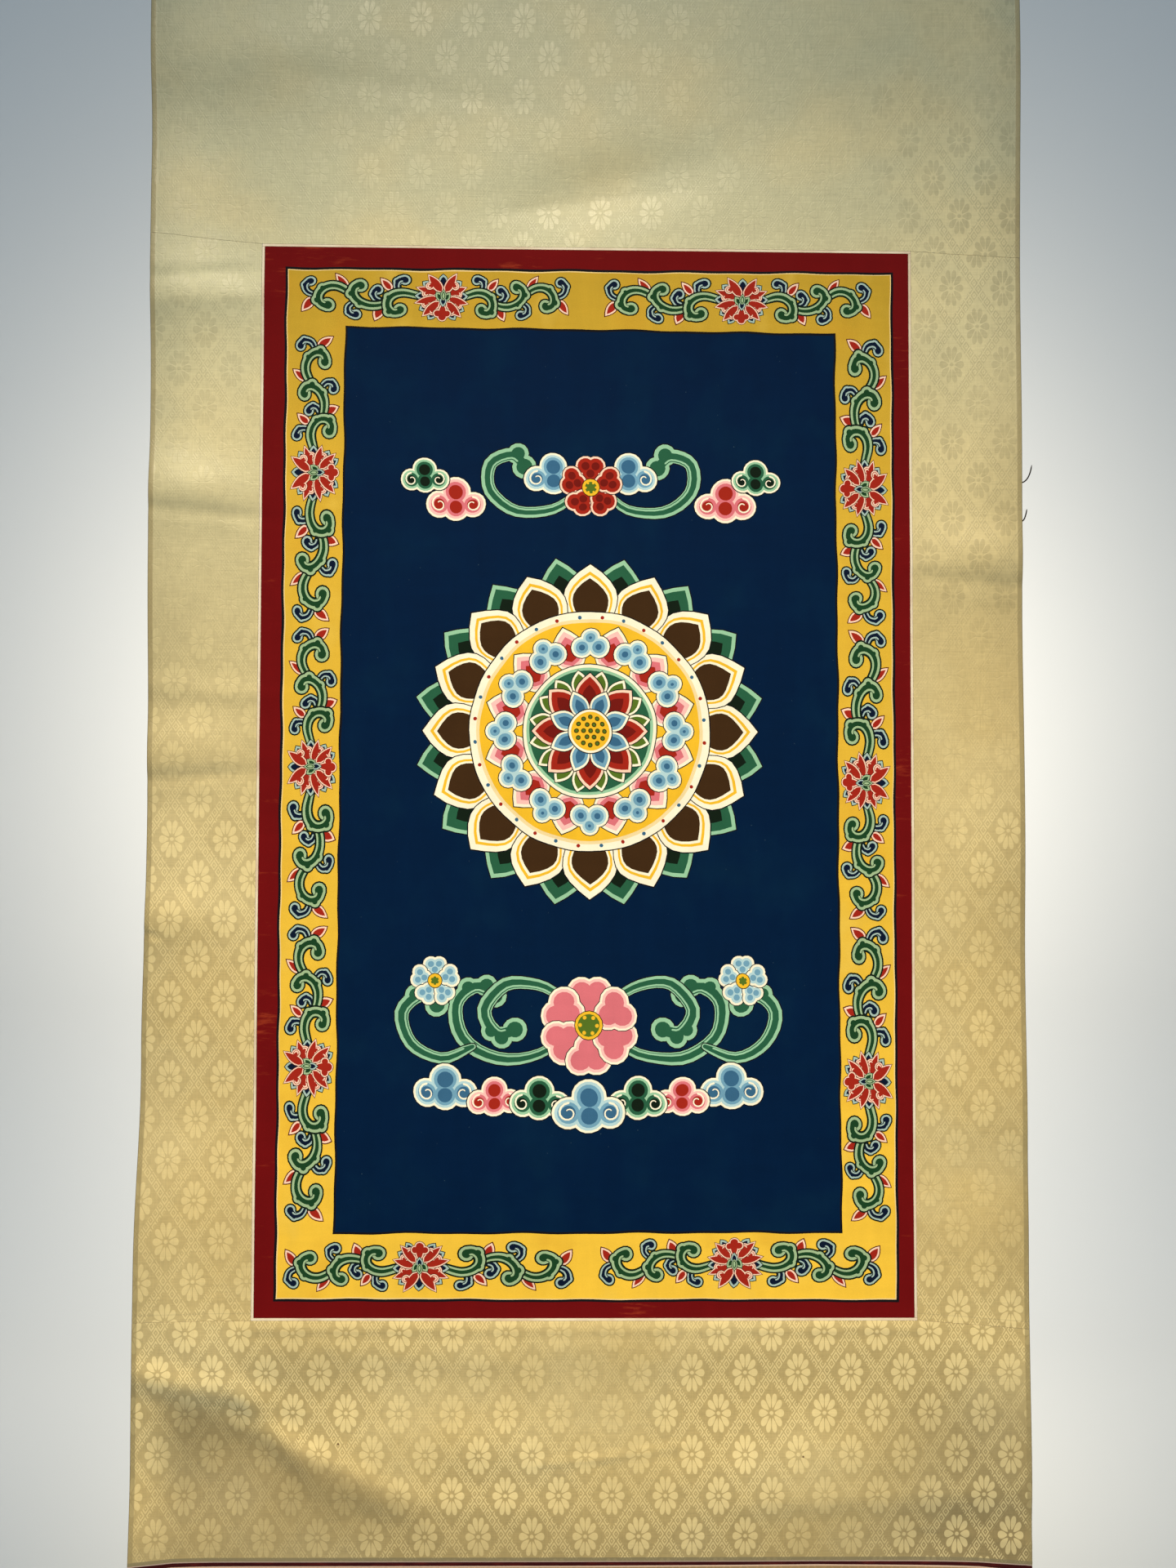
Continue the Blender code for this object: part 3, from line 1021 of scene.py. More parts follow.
# millimetres from the middle of the field
fieldOrnament = {
    "heart": (0, 40),
    "foot": (0, -222),
    "footLeaves": (
        (((14, -6), (44, -26), (82, -30), (112, -12), (118, 16), (102, 32), (84, 26)), -1),
        (((20, 20), (46, 34), (74, 34), (92, 12), (82, -8), (66, -6)), 1),
        (((104, -20), (132, -30), (158, -16), (166, 10), (150, 26), (136, 18)), -1),
    ),
    "crown": (0, 262),
    "crownLeaf": ((10, -2), (34, -20), (66, -22), (90, -4), (90, 20), (72, 28), (60, 18)),
    "halfWidth": 185.0,
    "low": -345.0,
    "high": 310.0,
    # rings of petals: count, first at degrees, from, to, width, layers
    "outerLeaves": (
        *(16, 11.25, 96, 158, 44),
        (("ink", 1.2), ("jadePale", 0.4), ("jade", -2.4), ("greenLine", -9.0)),
    ),
    "outerPetals": (
        *(16, 0, 92, 150, 48),
        (("ink", 1.4), ("cream", 0.5), ("yellow", -3.6), ("cream", -5.6), ("brown", -7.4)),
    ),
    "rosePetals": (
        *(12, 15, 56, 96, 30),
        (("ink", 1.0), ("cream", 0.3), ("rosePale", -1.8), ("rose", -4.8), ("red", -8.6)),
    ),
    "innerPetals": (
        (16, 11.25, 30, 55, 15, (("greenLine", 0.8), ("cream", 0.2), ("moss", -1.6))),
        (8, 0, 14, 52, 25, (("ink", 1.0), ("pinkCream", 0.3), ("red", -1.7), ("redDeep", -6.2))),
        (8, 22.5, 12, 38, 17, (("ink", 0.9), ("cream", 0.2), ("sky", -1.5), ("skyDeep", -4.4))),
    ),
    # discs: radius, points, layers
    "beadedDisc": (108, 72, (("ink", 1.2), ("cream", 0.2), ("creamDeep", -6.0), ("yellow", -9.0))),
    "innerDisc": (60, 60, (("ink", 1.1), ("cream", 0.2), ("jadePale", -2.6), ("jade", -5.2))),
    "heartDisc": (19, 36, (("ink", 1.1), ("cream", 0.2), ("yellow", -1.8))),
    "beads": {"count": 32, "far": 103.6, "start": 5.6, "radius": 1.7},
    # three discs of each trefoil: how far from its middle, degrees aside, radius
    "trefoil": ((8.6, 62, 9.6), (8.6, -62, 9.6), (13.0, 0, 8.2)),
    "trefoilLayers": (("ink", 1.2), ("cream", 0.4), ("skyPale", -1.6), ("sky", -3.8), ("skyDeep", -6.8)),
    # rows of seeds: how far from the heart, and how many
    "seeds": ((0, 1), (6.2, 6), (12.4, 12)),
    # at both sides: across, up, size, kind; a blossom has its number of petals too
    "pairs": (
        (128, -282, 26, "blue"),
        (84, -290, 22, "rose"),
        (44, -292, 24, "green"),
        (138, -184, 25, 5, "blue"),
        (122, 246, 25, "rose"),
        (150, 268, 20, "green"),
        (34, 270, 24, "blue"),
    ),
    "middles": ((0, -224, 50, 6, "rose"), (0, -300, 30, "blue"), (0, 262, 32, 5, "red")),
}


def rosette(made):
    heart = fieldOrnament["heart"]
    ringOfBlades(made, heart, *fieldOrnament["outerLeaves"])
    ringOfBlades(made, heart, *fieldOrnament["outerPetals"])
    made.spot(heart, *fieldOrnament["beadedDisc"])
    beads = fieldOrnament["beads"]
    for k in range(beads["count"]):
        at = polar(heart, beads["far"], beads["start"] + 360 * k / beads["count"])
        made.stroke(disc(at, beads["radius"], 10), "red" if k % 2 else "skyDeep")
    ringOfBlades(made, heart, *fieldOrnament["rosePetals"])
    for k in range(12):
        turn = 30 * k
        middle = polar(heart, 72, turn)
        made.layered(
            lambda grow: [
                disc(polar(middle, far, turn + aside), radius + grow, 16)
                for far, aside, radius in fieldOrnament["trefoil"]
            ],
            fieldOrnament["trefoilLayers"],
        )
    made.spot(heart, *fieldOrnament["innerDisc"])
    for ring in fieldOrnament["innerPetals"]:
        ringOfBlades(made, heart, *ring)
    made.spot(heart, *fieldOrnament["heartDisc"])
    for radius, count in fieldOrnament["seeds"]:
        for k in range(count):
            made.spot(polar(heart, radius, 360 * k / count), 1.7, 10, (("brown", 0.5), ("moss", -0.3)))


def fieldStrokes():
    made = Strokes()
    rosette(made)
    foot, crown = np.array(fieldOrnament["foot"]), np.array(fieldOrnament["crown"])
    for side in (-1, 1):
        flip = np.array([side, 1])
        for points, way in fieldOrnament["footLeaves"]:
            made.leaf(foot + flip * points, way * side, footLook)
        made.leaf(crown + flip * fieldOrnament["crownLeaf"], -side, crownLook)
    paired = [(side * x, *row) for side in (-1, 1) for x, *row in fieldOrnament["pairs"]]
    for x, up, *row in [*paired, *fieldOrnament["middles"]]:
        draw = blossom if len(row) == 3 else cloud
        draw(made, (x, up), *row)
    return made


# from strokes to one flat paint layer, in millimetres
paintTolerance = 0.002
sliverHeight = 0.004
spotsAtOnce = 4000000


def sidesOf(triangles):
    # every side of every triangle, three rows for each
    return np.sort(triangles[:, [[0, 1], [1, 2], [2, 0]]].reshape(-1, 2), axis=1)


def triangulated(points, edges):
    # only what the edges enclose
    made = delaunay_2d_cdt([Vector(p) for p in points], edges, [], 1, paintTolerance, True)
    places, triangles = np.array([tuple(p) for p in made[0]]), np.array(made[2])
    while True:
        # slivers outside a straight border come off, one row at a time
        which = np.unique(sidesOf(triangles), axis=0, return_inverse=True)[1].reshape(-1)
        atBorder = (np.bincount(which)[which] == 1).reshape(-1, 3).any(axis=1)
        a, b, c = (places[triangles[:, i]] for i in range(3))
        first, second = b - a, c - a
        twiceArea = np.abs(first[:, 0] * second[:, 1] - second[:, 0] * first[:, 1])
        longest = np.max([np.linalg.norm(side, axis=1) for side in (first, second, c - b)], axis=0)
        thin = atBorder & (twiceArea < sliverHeight * longest)
        if not thin.any():
            return places, triangles
        triangles = triangles[~thin]


def windings(outline, spots):
    # how often an outline runs round each spot
    a, b = outline, np.roll(outline, -1, axis=0)
    x, y = spots[:, :1], spots[:, 1:]
    over = (b[:, 0] - a[:, 0]) * (y - a[:, 1]) - (x - a[:, 0]) * (b[:, 1] - a[:, 1])
    up = (a[:, 1] <= y) & (b[:, 1] > y) & (over > 0)
    down = (a[:, 1] > y) & (b[:, 1] <= y) & (over < 0)
    return up.sum(axis=1) - down.sum(axis=1)


def topStroke(outlines, spots):
    # which outline lies uppermost at each spot; the first one is the ground
    found = np.zeros(len(spots), int)
    order = np.argsort(spots[:, 0])
    sortedX = spots[order, 0]
    for k in range(len(outlines) - 1, 0, -1):
        low, high = outlines[k].min(axis=0), outlines[k].max(axis=0)
        near = order[np.searchsorted(sortedX, low[0]) : np.searchsorted(sortedX, high[0])]
        near = near[(found[near] == 0) & (spots[near, 1] > low[1]) & (spots[near, 1] < high[1])]
        for part in np.array_split(near, max(len(near) * len(outlines[k]) // spotsAtOnce, 1)):
            if len(part):
                found[part[windings(outlines[k], spots[part]) != 0]] = k
    return found


def paintLayer(ground, strokes, tone, cell):
    # the strokes seen from the front: points, triangles and each triangle's tone, with nothing hidden left
    tones = [tone] + [name for outline, name in strokes]
    toneOf = np.array([toneNames.index(name) if name in pigments else -1 for name in tones])
    outlines = [np.array(ground, float)] + [outline for outline, name in strokes]
    starts = np.cumsum([0] + [len(o) for o in outlines])
    edges = []
    for outline, start in zip(outlines, starts):
        count = len(outline)
        edges += [(start + i, start + (i + 1) % count) for i in range(count)]
    seen, triangles = triangulated(np.vstack(outlines), edges)
    toneAt = toneOf[topStroke(outlines, seen[triangles].mean(axis=1))]
    # only the edges between two tones are kept, with a loose grid that follows the folds
    edges, which = np.unique(sidesOf(triangles), axis=0, return_inverse=True)
    which, toneThrice = which.reshape(-1), np.repeat(toneAt, 3)
    lowest, highest = np.full(len(edges), len(toneNames)), np.full(len(edges), -2)
    np.minimum.at(lowest, which, toneThrice)
    np.maximum.at(highest, which, toneThrice)
    edges = edges[(lowest != highest) | (np.bincount(which) == 1)]
    used, numbered = np.unique(edges, return_inverse=True)
    low, high = seen.min(axis=0), seen.max(axis=0)
    counts = np.maximum(np.ceil((high - low) / cell).astype(int), 2)
    lines = [np.linspace(low[i], high[i], counts[i] + 1)[1:-1] for i in (0, 1)]
    grid = np.stack(np.meshgrid(*lines), -1).reshape(-1, 2)
    final, finalTriangles = triangulated(np.vstack([seen[used], grid]), numbered.reshape(-1, 2).tolist())
    lookup = BVHTree.FromPolygons([(*p, 0.0) for p in seen], triangles.tolist())
    middles = final[finalTriangles].mean(axis=1)
    hits = [lookup.ray_cast((x, y, 1.0), (0, 0, -1.0))[2] for x, y in middles]
    tonesFound = np.array([-1 if hit is None else toneAt[hit] for hit in hits])
    keep = tonesFound >= 0
    return final, finalTriangles[keep], tonesFound[keep]


def sideOfOutline(start, end, step):
    count = max(int(math.ceil(math.dist(start, end) / step)), 1)
    part = np.linspace(0, 1, count, endpoint=False)[:, None]
    return np.array(start) + part * (np.array(end) - np.array(start))


def outlineOf(corners, step=8.0):
    # a closed outline with points at even steps, anticlockwise as seen from the front
    return np.vstack([sideOfOutline(a, b, step) for a, b in zip(corners, [*corners[1:], corners[0]])])


# the painted sheet: bands, ten motifs and the field

bands = {
    # bottom left, bottom right, top right, top left
    "gold": ((-0.2720, -1.3441), (0.2793, -1.3463), (0.2780, -0.4198), (-0.2719, -0.4203)),
    "field": ((-0.2200, -1.2857), (0.2291, -1.2858), (0.2253, -0.4765), (-0.2180, -0.4740)),
    "lineOutside": 2.2,
    "creamInside": 0.9,
    "fieldLine": 1.9,
    "wobble": 0.18,
    "weldWithin": 4e-6,
    "tileMargin": 0.6,
    "tileLow": -23.4,
    "tileHigh": 22.8,
    "tileHalf": 129.0,
    # across, height, degrees turned, stretch before and after the flower
    "motifs": (
        (-0.1310, -0.4446, 0, 1.015, 0.905),
        (0.1419, -0.4456, 0, 0.990, 0.930),
        (-0.1456, -1.3167, 180, 1.070, 0.940),
        (0.1339, -1.3144, 180, 1.030, 0.940),
        (-0.2457, -0.6069, 90, 1.070, 0.985),
        (-0.2456, -0.8733, 90, 1.070, 0.985),
        (-0.2460, -1.1405, 90, 1.070, 0.985),
        (0.2529, -0.6188, -90, 1.090, 0.970),
        (0.2535, -0.8861, -90, 1.090, 0.970),
        (0.2547, -1.1542, -90, 1.090, 0.970),
    ),
    "fieldMiddle": (0.0041, -0.8802),
    "foldCell": 10.0,
    "backCell": 14.0,
}


def inMillimetres(point):
    return np.array(point) / millimetre


def drawnFrame(corners, grow, start):
    # a painted frame's edge: not quite straight, drawn by hand
    corners = [inMillimetres(c) for c in corners]
    outward = [np.array(p) * grow for p in ((-1, -1), (1, -1), (1, 1), (-1, 1))]
    line = outlineOf([c + o for c, o in zip(corners, outward)])
    run = np.cumsum(np.linalg.norm(line - np.roll(line, 1, axis=0), axis=1))
    waves = ((41.0, start, 1.0), (17.7, 2.1 * start, 0.3), (93.0, -start, 0.9))
    sway = bands["wobble"] * sum(share * np.sin(run / length + turn) for length, turn, share in waves)
    across = line - line.mean(axis=0)
    across /= np.linalg.norm(across, axis=1)[:, None]
    return line + across * sway[:, None]


def pictureOutline():
    corners = []
    for left, top in ((True, False), (False, False), (False, True), (True, True)):
        x, z = 0.0, -0.4 if top else -1.36
        for _ in range(4):
            x = pictureLeft(z) + half if left else pictureRight(z) - half
            z = pictureTop(x) - half if top else pictureBottom(x) + half
        corners.append(inMillimetres((x, float(z))))
    return outlineOf(corners)


def tileOutline():
    low, high, far = bands["tileLow"], bands["tileHigh"], bands["tileHalf"]
    return outlineOf([(-far, low), (far, low), (far, high), (-far, high)])


def placedTile(points, x, z, degrees, before, after):
    turn = math.radians(degrees)
    along, out = points[:, 0] * np.where(points[:, 0] < 0, before, after), points[:, 1]
    return np.stack(
        [
            x / millimetre + along * math.cos(turn) - out * math.sin(turn),
            z / millimetre + along * math.sin(turn) + out * math.cos(turn),
        ],
        axis=1,
    )


def flatObject(name, points, triangles, tones):
    flat = np.stack([points[:, 0], 0 * points[:, 0], points[:, 1]], axis=1) * millimetre
    mesh = newMesh(name, flat, triangles.tolist())
    giveAttribute(mesh, "tone", "FACE", tones)
    return inScene(name, mesh)


class Nodes:
    # a Geometry Nodes tree that is built call by call
    def __init__(self, name, inputs):
        self.tree = bpy.data.node_groups.new(name, "GeometryNodeTree")
        face = self.tree.interface
        self.identifiers = {
            label: face.new_socket(name=label, in_out="INPUT", socket_type=kind).identifier
            for label, kind in inputs
        }
        face.new_socket(name="Geometry", in_out="OUTPUT", socket_type="NodeSocketGeometry")
        self.start = self.tree.nodes.new("NodeGroupInput").outputs
        self.end = self.tree.nodes.new("NodeGroupOutput").inputs

    def add(self, kind, values, settings={}, output=0):
        return newNode(self.tree, kind, settings, values).outputs[output]

    def named(self, name):
        return self.add("GeometryNodeInputNamedAttribute", {"Name": name}, {"data_type": "FLOAT"})

    def math(self, operation, first, second=0.0):
        return self.add("ShaderNodeMath", {0: first, 1: second}, {"operation": operation})

    def apply(self, carrier, values):
        made = carrier.modifiers.new(self.tree.name, "NODES")
        made.node_group = self.tree
        for label, value in values.items():
            made[self.identifiers[label]] = value
        bpy.context.view_layer.update()
        graph = bpy.context.evaluated_depsgraph_get()
        result = bpy.data.meshes.new_from_object(carrier.evaluated_get(graph))
        carrier.modifiers.remove(made)
        return result


def borderNodes():
    # a painted motif at each place, turned to face outwards and stretched either side of its flower
    nodes = Nodes(
        "Border motifs",
        (
            ("Geometry", "NodeSocketGeometry"),
            ("Motif", "NodeSocketObject"),
            ("Stretch Share", "NodeSocketFloat"),
            ("Paint", "NodeSocketMaterial"),
        ),
    )
    given, add, maths = nodes.start, nodes.add, nodes.math
    motif = add("GeometryNodeObjectInfo", {"Object": given["Motif"]}, output="Geometry")
    turn = nodes.named("turn")
    rotation = add("ShaderNodeCombineXYZ", {"Y": maths("MULTIPLY", turn, -1.0)})
    instances = {"Points": given["Geometry"], "Instance": motif, "Rotation": rotation}
    real = add("GeometryNodeRealizeInstances", {"Geometry": add("GeometryNodeInstanceOnPoints", instances)})
    along = nodes.named("along")
    before = maths("MULTIPLY", maths("LESS_THAN", along, 0.0), nodes.named("stretchBefore"))
    after = maths("MULTIPLY", maths("GREATER_THAN", along, 0.0), nodes.named("stretchAfter"))
    step = maths("MULTIPLY", along, maths("MULTIPLY", maths("ADD", before, after), given["Stretch Share"]))
    sideways = maths("MULTIPLY", step, maths("COSINE", turn))
    upwards = maths("MULTIPLY", step, maths("SINE", turn))
    offset = add("ShaderNodeCombineXYZ", {"X": sideways, "Z": upwards})
    stretched = add("GeometryNodeSetPosition", {"Geometry": real, "Offset": offset})
    painted = add("GeometryNodeSetMaterial", {"Geometry": stretched, "Material": given["Paint"]})
    nodes.tree.links.new(painted, nodes.end[0])
    return nodes


def trianglesOf(mesh):
    points = readOut(mesh.vertices, "co", 3)[:, [0, 2]] / millimetre
    corners = readOut(mesh.loops, "vertex_index", kind=np.int32).reshape(-1, 3)
    return points, corners, readOut(mesh.attributes["tone"].data, "value", kind=np.int32)


def borderTriangles(paint):
    motif = borderMotif()
    reach = np.vstack([outline for outline, tone in motif.laid])
    low, high = reach.min(axis=0), reach.max(axis=0)
    tileLow = np.array((-bands["tileHalf"], bands["tileLow"])) + bands["tileMargin"]
    tileHigh = np.array((bands["tileHalf"], bands["tileHigh"])) - bands["tileMargin"]
    fit = np.minimum((tileHigh - tileLow) / (high - low), (1.0, 2.0))
    shift = (tileLow + tileHigh) / 2 - fit * (low + high) / 2
    strokes = [(outline * fit + shift, tone) for outline, tone in motif.laid]
    print("  the motif is fitted to its place by", fit.round(3))
    points, triangles, tones = paintLayer(tileOutline(), strokes, "gold", bands["foldCell"])
    tile = flatObject("motifTile", points, triangles, tones)
    giveAttribute(tile.data, "along", "POINT", points[:, 0] * millimetre)
    x, z, degrees, before, after = np.array(bands["motifs"]).T
    places = newMesh("motifPlaces", np.stack([x, 0 * x, z], axis=1), [])
    columns = {"turn": np.radians(degrees), "stretchBefore": before - 1, "stretchAfter": after - 1}
    for name, values in columns.items():
        giveAttribute(places, name, "POINT", values)
    carrier = inScene("motifPlaces", places)
    result = borderNodes().apply(carrier, {"Motif": tile, "Stretch Share": 1.0, "Paint": paint})
    made = trianglesOf(result)
    for helper in (carrier, tile):
        bpy.data.objects.remove(helper, do_unlink=True)
    bpy.data.meshes.remove(result)
    print("  ten motifs:", len(made[1]), "triangles")
    return made


def surroundings(fieldHole):
    strokes = [
        (drawnFrame(bands["gold"], bands["lineOutside"], 0.4), "ink"),
        (drawnFrame(bands["gold"], 0.0, 0.9), "edgeCream"),
        (drawnFrame(bands["gold"], -bands["creamInside"], 1.7), "gold"),
        (drawnFrame(bands["field"], bands["fieldLine"], 2.6), "ink"),
        (drawnFrame(bands["field"], 0.0, 3.3), "field"),
        (fieldHole, "hole"),
    ]
    strokes += [(placedTile(tileOutline(), *row), "hole") for row in bands["motifs"]]
    return paintLayer(pictureOutline(), strokes, "redGround", bands["foldCell"])


def swayed(points, outline):
    # the hand's small unevenness, fading out at the sheet's edges
    x, z = points[:, 0], points[:, 1]
    low, high = outline.min(axis=0), outline.max(axis=0)
    inside = np.minimum.reduce([x - low[0], high[0] - x, z - low[1], high[1] - z])
    hold = eased(np.clip((inside - 3) / 22, 0, 1))
    dx = 0.50 * np.sin(z / 17.3 + 0.7) * np.cos(x / 23.1) + 0.35 * np.sin(z / 7.9 + x / 11.3)
    dz = 0.50 * np.sin(x / 15.7 + 1.9) * np.cos(z / 21.7) + 0.35 * np.sin(x / 8.3 - z / 10.1)
    return points + np.stack([dx, dz], axis=1) * hold[:, None]


def unit(vectors):
    return vectors / np.linalg.norm(vectors, axis=1)[:, None]


def frontNormals(x, z, step=0.0004):
    fx = (litForward(x + step, z) - litForward(x - step, z)) / (2 * step)
    fz = (litForward(x, z + step) - litForward(x, z - step)) / (2 * step)
    return -unit(np.stack([fx, np.ones_like(fx), fz], axis=1))


def gridNormals(x, lift, z):
    # normals of a cloth's front, with the folds' slopes made stronger for the light
    places = np.stack([x, -litForward(x, z) - lift, z], axis=-1)
    across, down = np.gradient(places, axis=1), np.gradient(places, axis=0)
    return unit(np.cross(down, across).reshape(-1, 3))


# the map for baking: where front, back and rim start and how high they are, as shares of it
bakeRows = ((0.07, 0.93), (0.0, 0.05), (0.065, 0.002))


def lightAndMap(mesh, side, normals, at):
    # side is 0 on the front, 1 on the back and 2 on the rim, which keeps its faces' own normals
    own = np.repeat(readOut(mesh.polygons, "normal", 3), len(mesh.loops) // len(mesh.polygons), axis=0)
    mesh.shade_smooth()
    mesh.normals_split_custom_set(np.where((side == 2)[:, None], own, normals).tolist())
    low, high = at.min(axis=0), at.max(axis=0)
    part = (at - low) / np.where(high > low, high - low, 1)
    start, share = np.array(bakeRows)[side].T
    layer = mesh.uv_layers.new(name="OFBake")
    places = np.stack([part[:, 0], start + share * part[:, 2]], axis=1)
    layer.uv.foreach_set("vector", places.astype(np.float32).ravel())


def paintingSheet():
    paint = paintFinish()
    outline = pictureOutline()
    middle = inMillimetres(bands["fieldMiddle"])
    wide, low, high = (fieldOrnament[key] for key in ("halfWidth", "low", "high"))
    fieldTile = outlineOf([(-wide, low), (wide, low), (wide, high), (-wide, high)])
    parts = [borderTriangles(paint), surroundings(fieldTile + middle)]
    points, triangles, tones = paintLayer(fieldTile, fieldStrokes().laid, "field", bands["foldCell"])
    parts.append((points + middle, triangles, tones))
    print("  bands:", len(parts[1][1]), "triangles; field ornament:", len(triangles))
    back, backTriangles, _ = paintLayer(outline, [], "field", bands["backCell"])
    # front, back and rim in one mesh, welded after
    count = len(outline)
    starts = np.cumsum([0] + [len(p) for p, t, c in parts] + [len(back), count, count])
    flat = swayed(np.vstack([p for p, t, c in parts] + [back, outline, outline]), outline)
    side = np.repeat([0, 0, 0, 1, 0, 1], np.diff(starts))
    here = np.arange(count)
    after = (here + 1) % count
    front, rear = starts[4], starts[5]
    faces = [t + start for (p, t, c), start in zip(parts, starts)] + [backTriangles[:, ::-1] + starts[3]]
    faces.append(np.stack([front + after, front + here, rear + here], axis=1))
    faces.append(np.stack([front + after, rear + here, rear + after], axis=1))
    plainCount = len(backTriangles) + 2 * count
    allTones = np.concatenate([c for p, t, c in parts] + [np.zeros(plainCount, int)])
    kinds = np.repeat([0, 1, 2], [len(allTones) - plainCount, len(backTriangles), 2 * count])
    x, z = flat[:, 0] * millimetre, flat[:, 1] * millimetre
    y = -hangingForward(x, z) + np.where(side == 0, -0.5, 0.5) * hang["thickness"]
    mesh = newMesh("paintingSheet", np.stack([x, y, z], axis=1), np.vstack(faces).tolist())
    giveAttribute(mesh, "tone", "FACE", allTones)
    giveAttribute(mesh, "sheetSide", "FACE", kinds)
    sheet = bmesh.new()
    sheet.from_mesh(mesh)
    bmesh.ops.remove_doubles(sheet, verts=sheet.verts, dist=bands["weldWithin"])
    bmesh.ops.delete(sheet, geom=[v for v in sheet.verts if not v.link_faces], context="VERTS")
    loose = sum(1 for edge in sheet.edges if len(edge.link_faces) != 2)
    sheet.to_mesh(mesh)
    sheet.free()
    print("painted sheet:", len(mesh.polygons), "triangles,", loose, "open edges")
    finishPainting(mesh, paint)
    return inScene("paintingSheet", mesh)


def finishPainting(mesh, paint):
    tones = readOut(mesh.attributes["tone"].data, "value", kind=np.int32)
    kinds = readOut(mesh.attributes["sheetSide"].data, "value", kind=np.int32)
    at = readOut(mesh.vertices, "co", 3)[readOut(mesh.loops, "vertex_index", kind=np.int32)]
    # the back and the rim have the paper's tone, which comes after the pigments
    palette = np.array([(*linear(colour), 1.0) for colour in (*pigments.values(), palePaper["back"])])
    tones = np.where(kinds == 0, tones, len(pigments))
    colours = np.repeat(palette[tones], 3, axis=0).astype(np.float32)
    mesh.color_attributes.new("pigment", "FLOAT_COLOR", "CORNER").data.foreach_set("color", colours.ravel())
    grounds = np.array([groundKinds.get(name, 0.0) for name in toneNames] + [0.0])
    giveAttribute(mesh, "ground", "FACE", grounds[tones])
    side = np.repeat(kinds, 3)
    normals = frontNormals(at[:, 0], at[:, 2]) * np.where(side == 0, 1, -1)[:, None]
    lightAndMap(mesh, side, normals, at)
    for name in ("tone", "sheetSide"):
        mesh.attributes.remove(mesh.attributes[name])
    mesh.materials.clear()
    mesh.materials.append(paint)


# the cloth sheets

cloth = {
    "cell": 0.0036,
    "redCell": 0.0032,
    "hemColumns": (0.0, 0.0008, 0.0020, 0.0040, 0.0049, 0.0065),
    "hemLift": (0.00010, 0.00035, 0.00035, 0.00035, 0.0, 0.0),
    "hemShade": (1.0, 0.5, 0.5, 0.5, 0.0, 0.0),
    "lapRows": (0.0, 0.0009, 0.0013, 0.0038, 0.0044),
    "lapLift": (0.0, 0.00025, 0.00025, 0.00025, 0.0),
    "lapShade": (1.0, 1.0, 0.5, 0.5, 0.0),
    # a faint painted shade line a little above a strip's lower end, where the seam allowance lies beneath
    "allowanceShadeRows": (0.0, 0.0050, 0.0062, 0.0074),
    "allowanceShadeLevels": (0.0, 0.0, 0.22, 0.0),
    "plain": ((0.0,), (0.0,), (0.0,)),
    # how far each piece's figure is shifted
    "weave": {
        "lowerPanel": (0.0177, -0.0096),
        "upperPanel": (0.0040, 0.0060),
        "rightStrip": (-0.0040, 0.0100),
    },
}
hemmed = (cloth["hemColumns"], cloth["hemLift"], cloth["hemShade"])
# the strips' lower ends take that painted shade line
allowanceShade = (cloth["allowanceShadeRows"], (0.0,) * 4, cloth["allowanceShadeLevels"])
lapped = (cloth["lapRows"], cloth["lapLift"], cloth["lapShade"])


def stops(length, cell, first, last):
    # stops along a side, finer at its ends: the share of the way, the distance kept, the lift and the shade
    rows = [(0.0, *row) for row in zip(*first)]
    inner, outer = first[0][-1], last[0][-1]
    count = max(int(math.ceil((length - inner - outer) / cell)), 1)
    for i in range(1, count):
        part = i / count
        rows.append((part, inner * (1 - part) - outer * part, 0.0, 0.0))
    rows += [(1.0, -distance, lift, shade) for distance, lift, shade in list(zip(*last))[::-1]]
    return np.array(rows)


def sheetFaces(shape):
    # quads of the front, the back and the rim of a grid that is there twice
    grid = np.arange(shape[0] * shape[1]).reshape(shape)
    quads = np.stack([grid[:-1, :-1], grid[1:, :-1], grid[1:, 1:], grid[:-1, 1:]], axis=-1).reshape(-1, 4)
    loop = np.concatenate([grid[:-1, 0], grid[-1, :-1], grid[1:, -1][::-1], grid[0, 1:][::-1]])
    nextOne, rear = np.roll(loop, -1), grid.size
    rim = np.stack([nextOne, loop, loop + rear, nextOne + rear], axis=1)
    return quads, quads[:, ::-1] + rear, rim


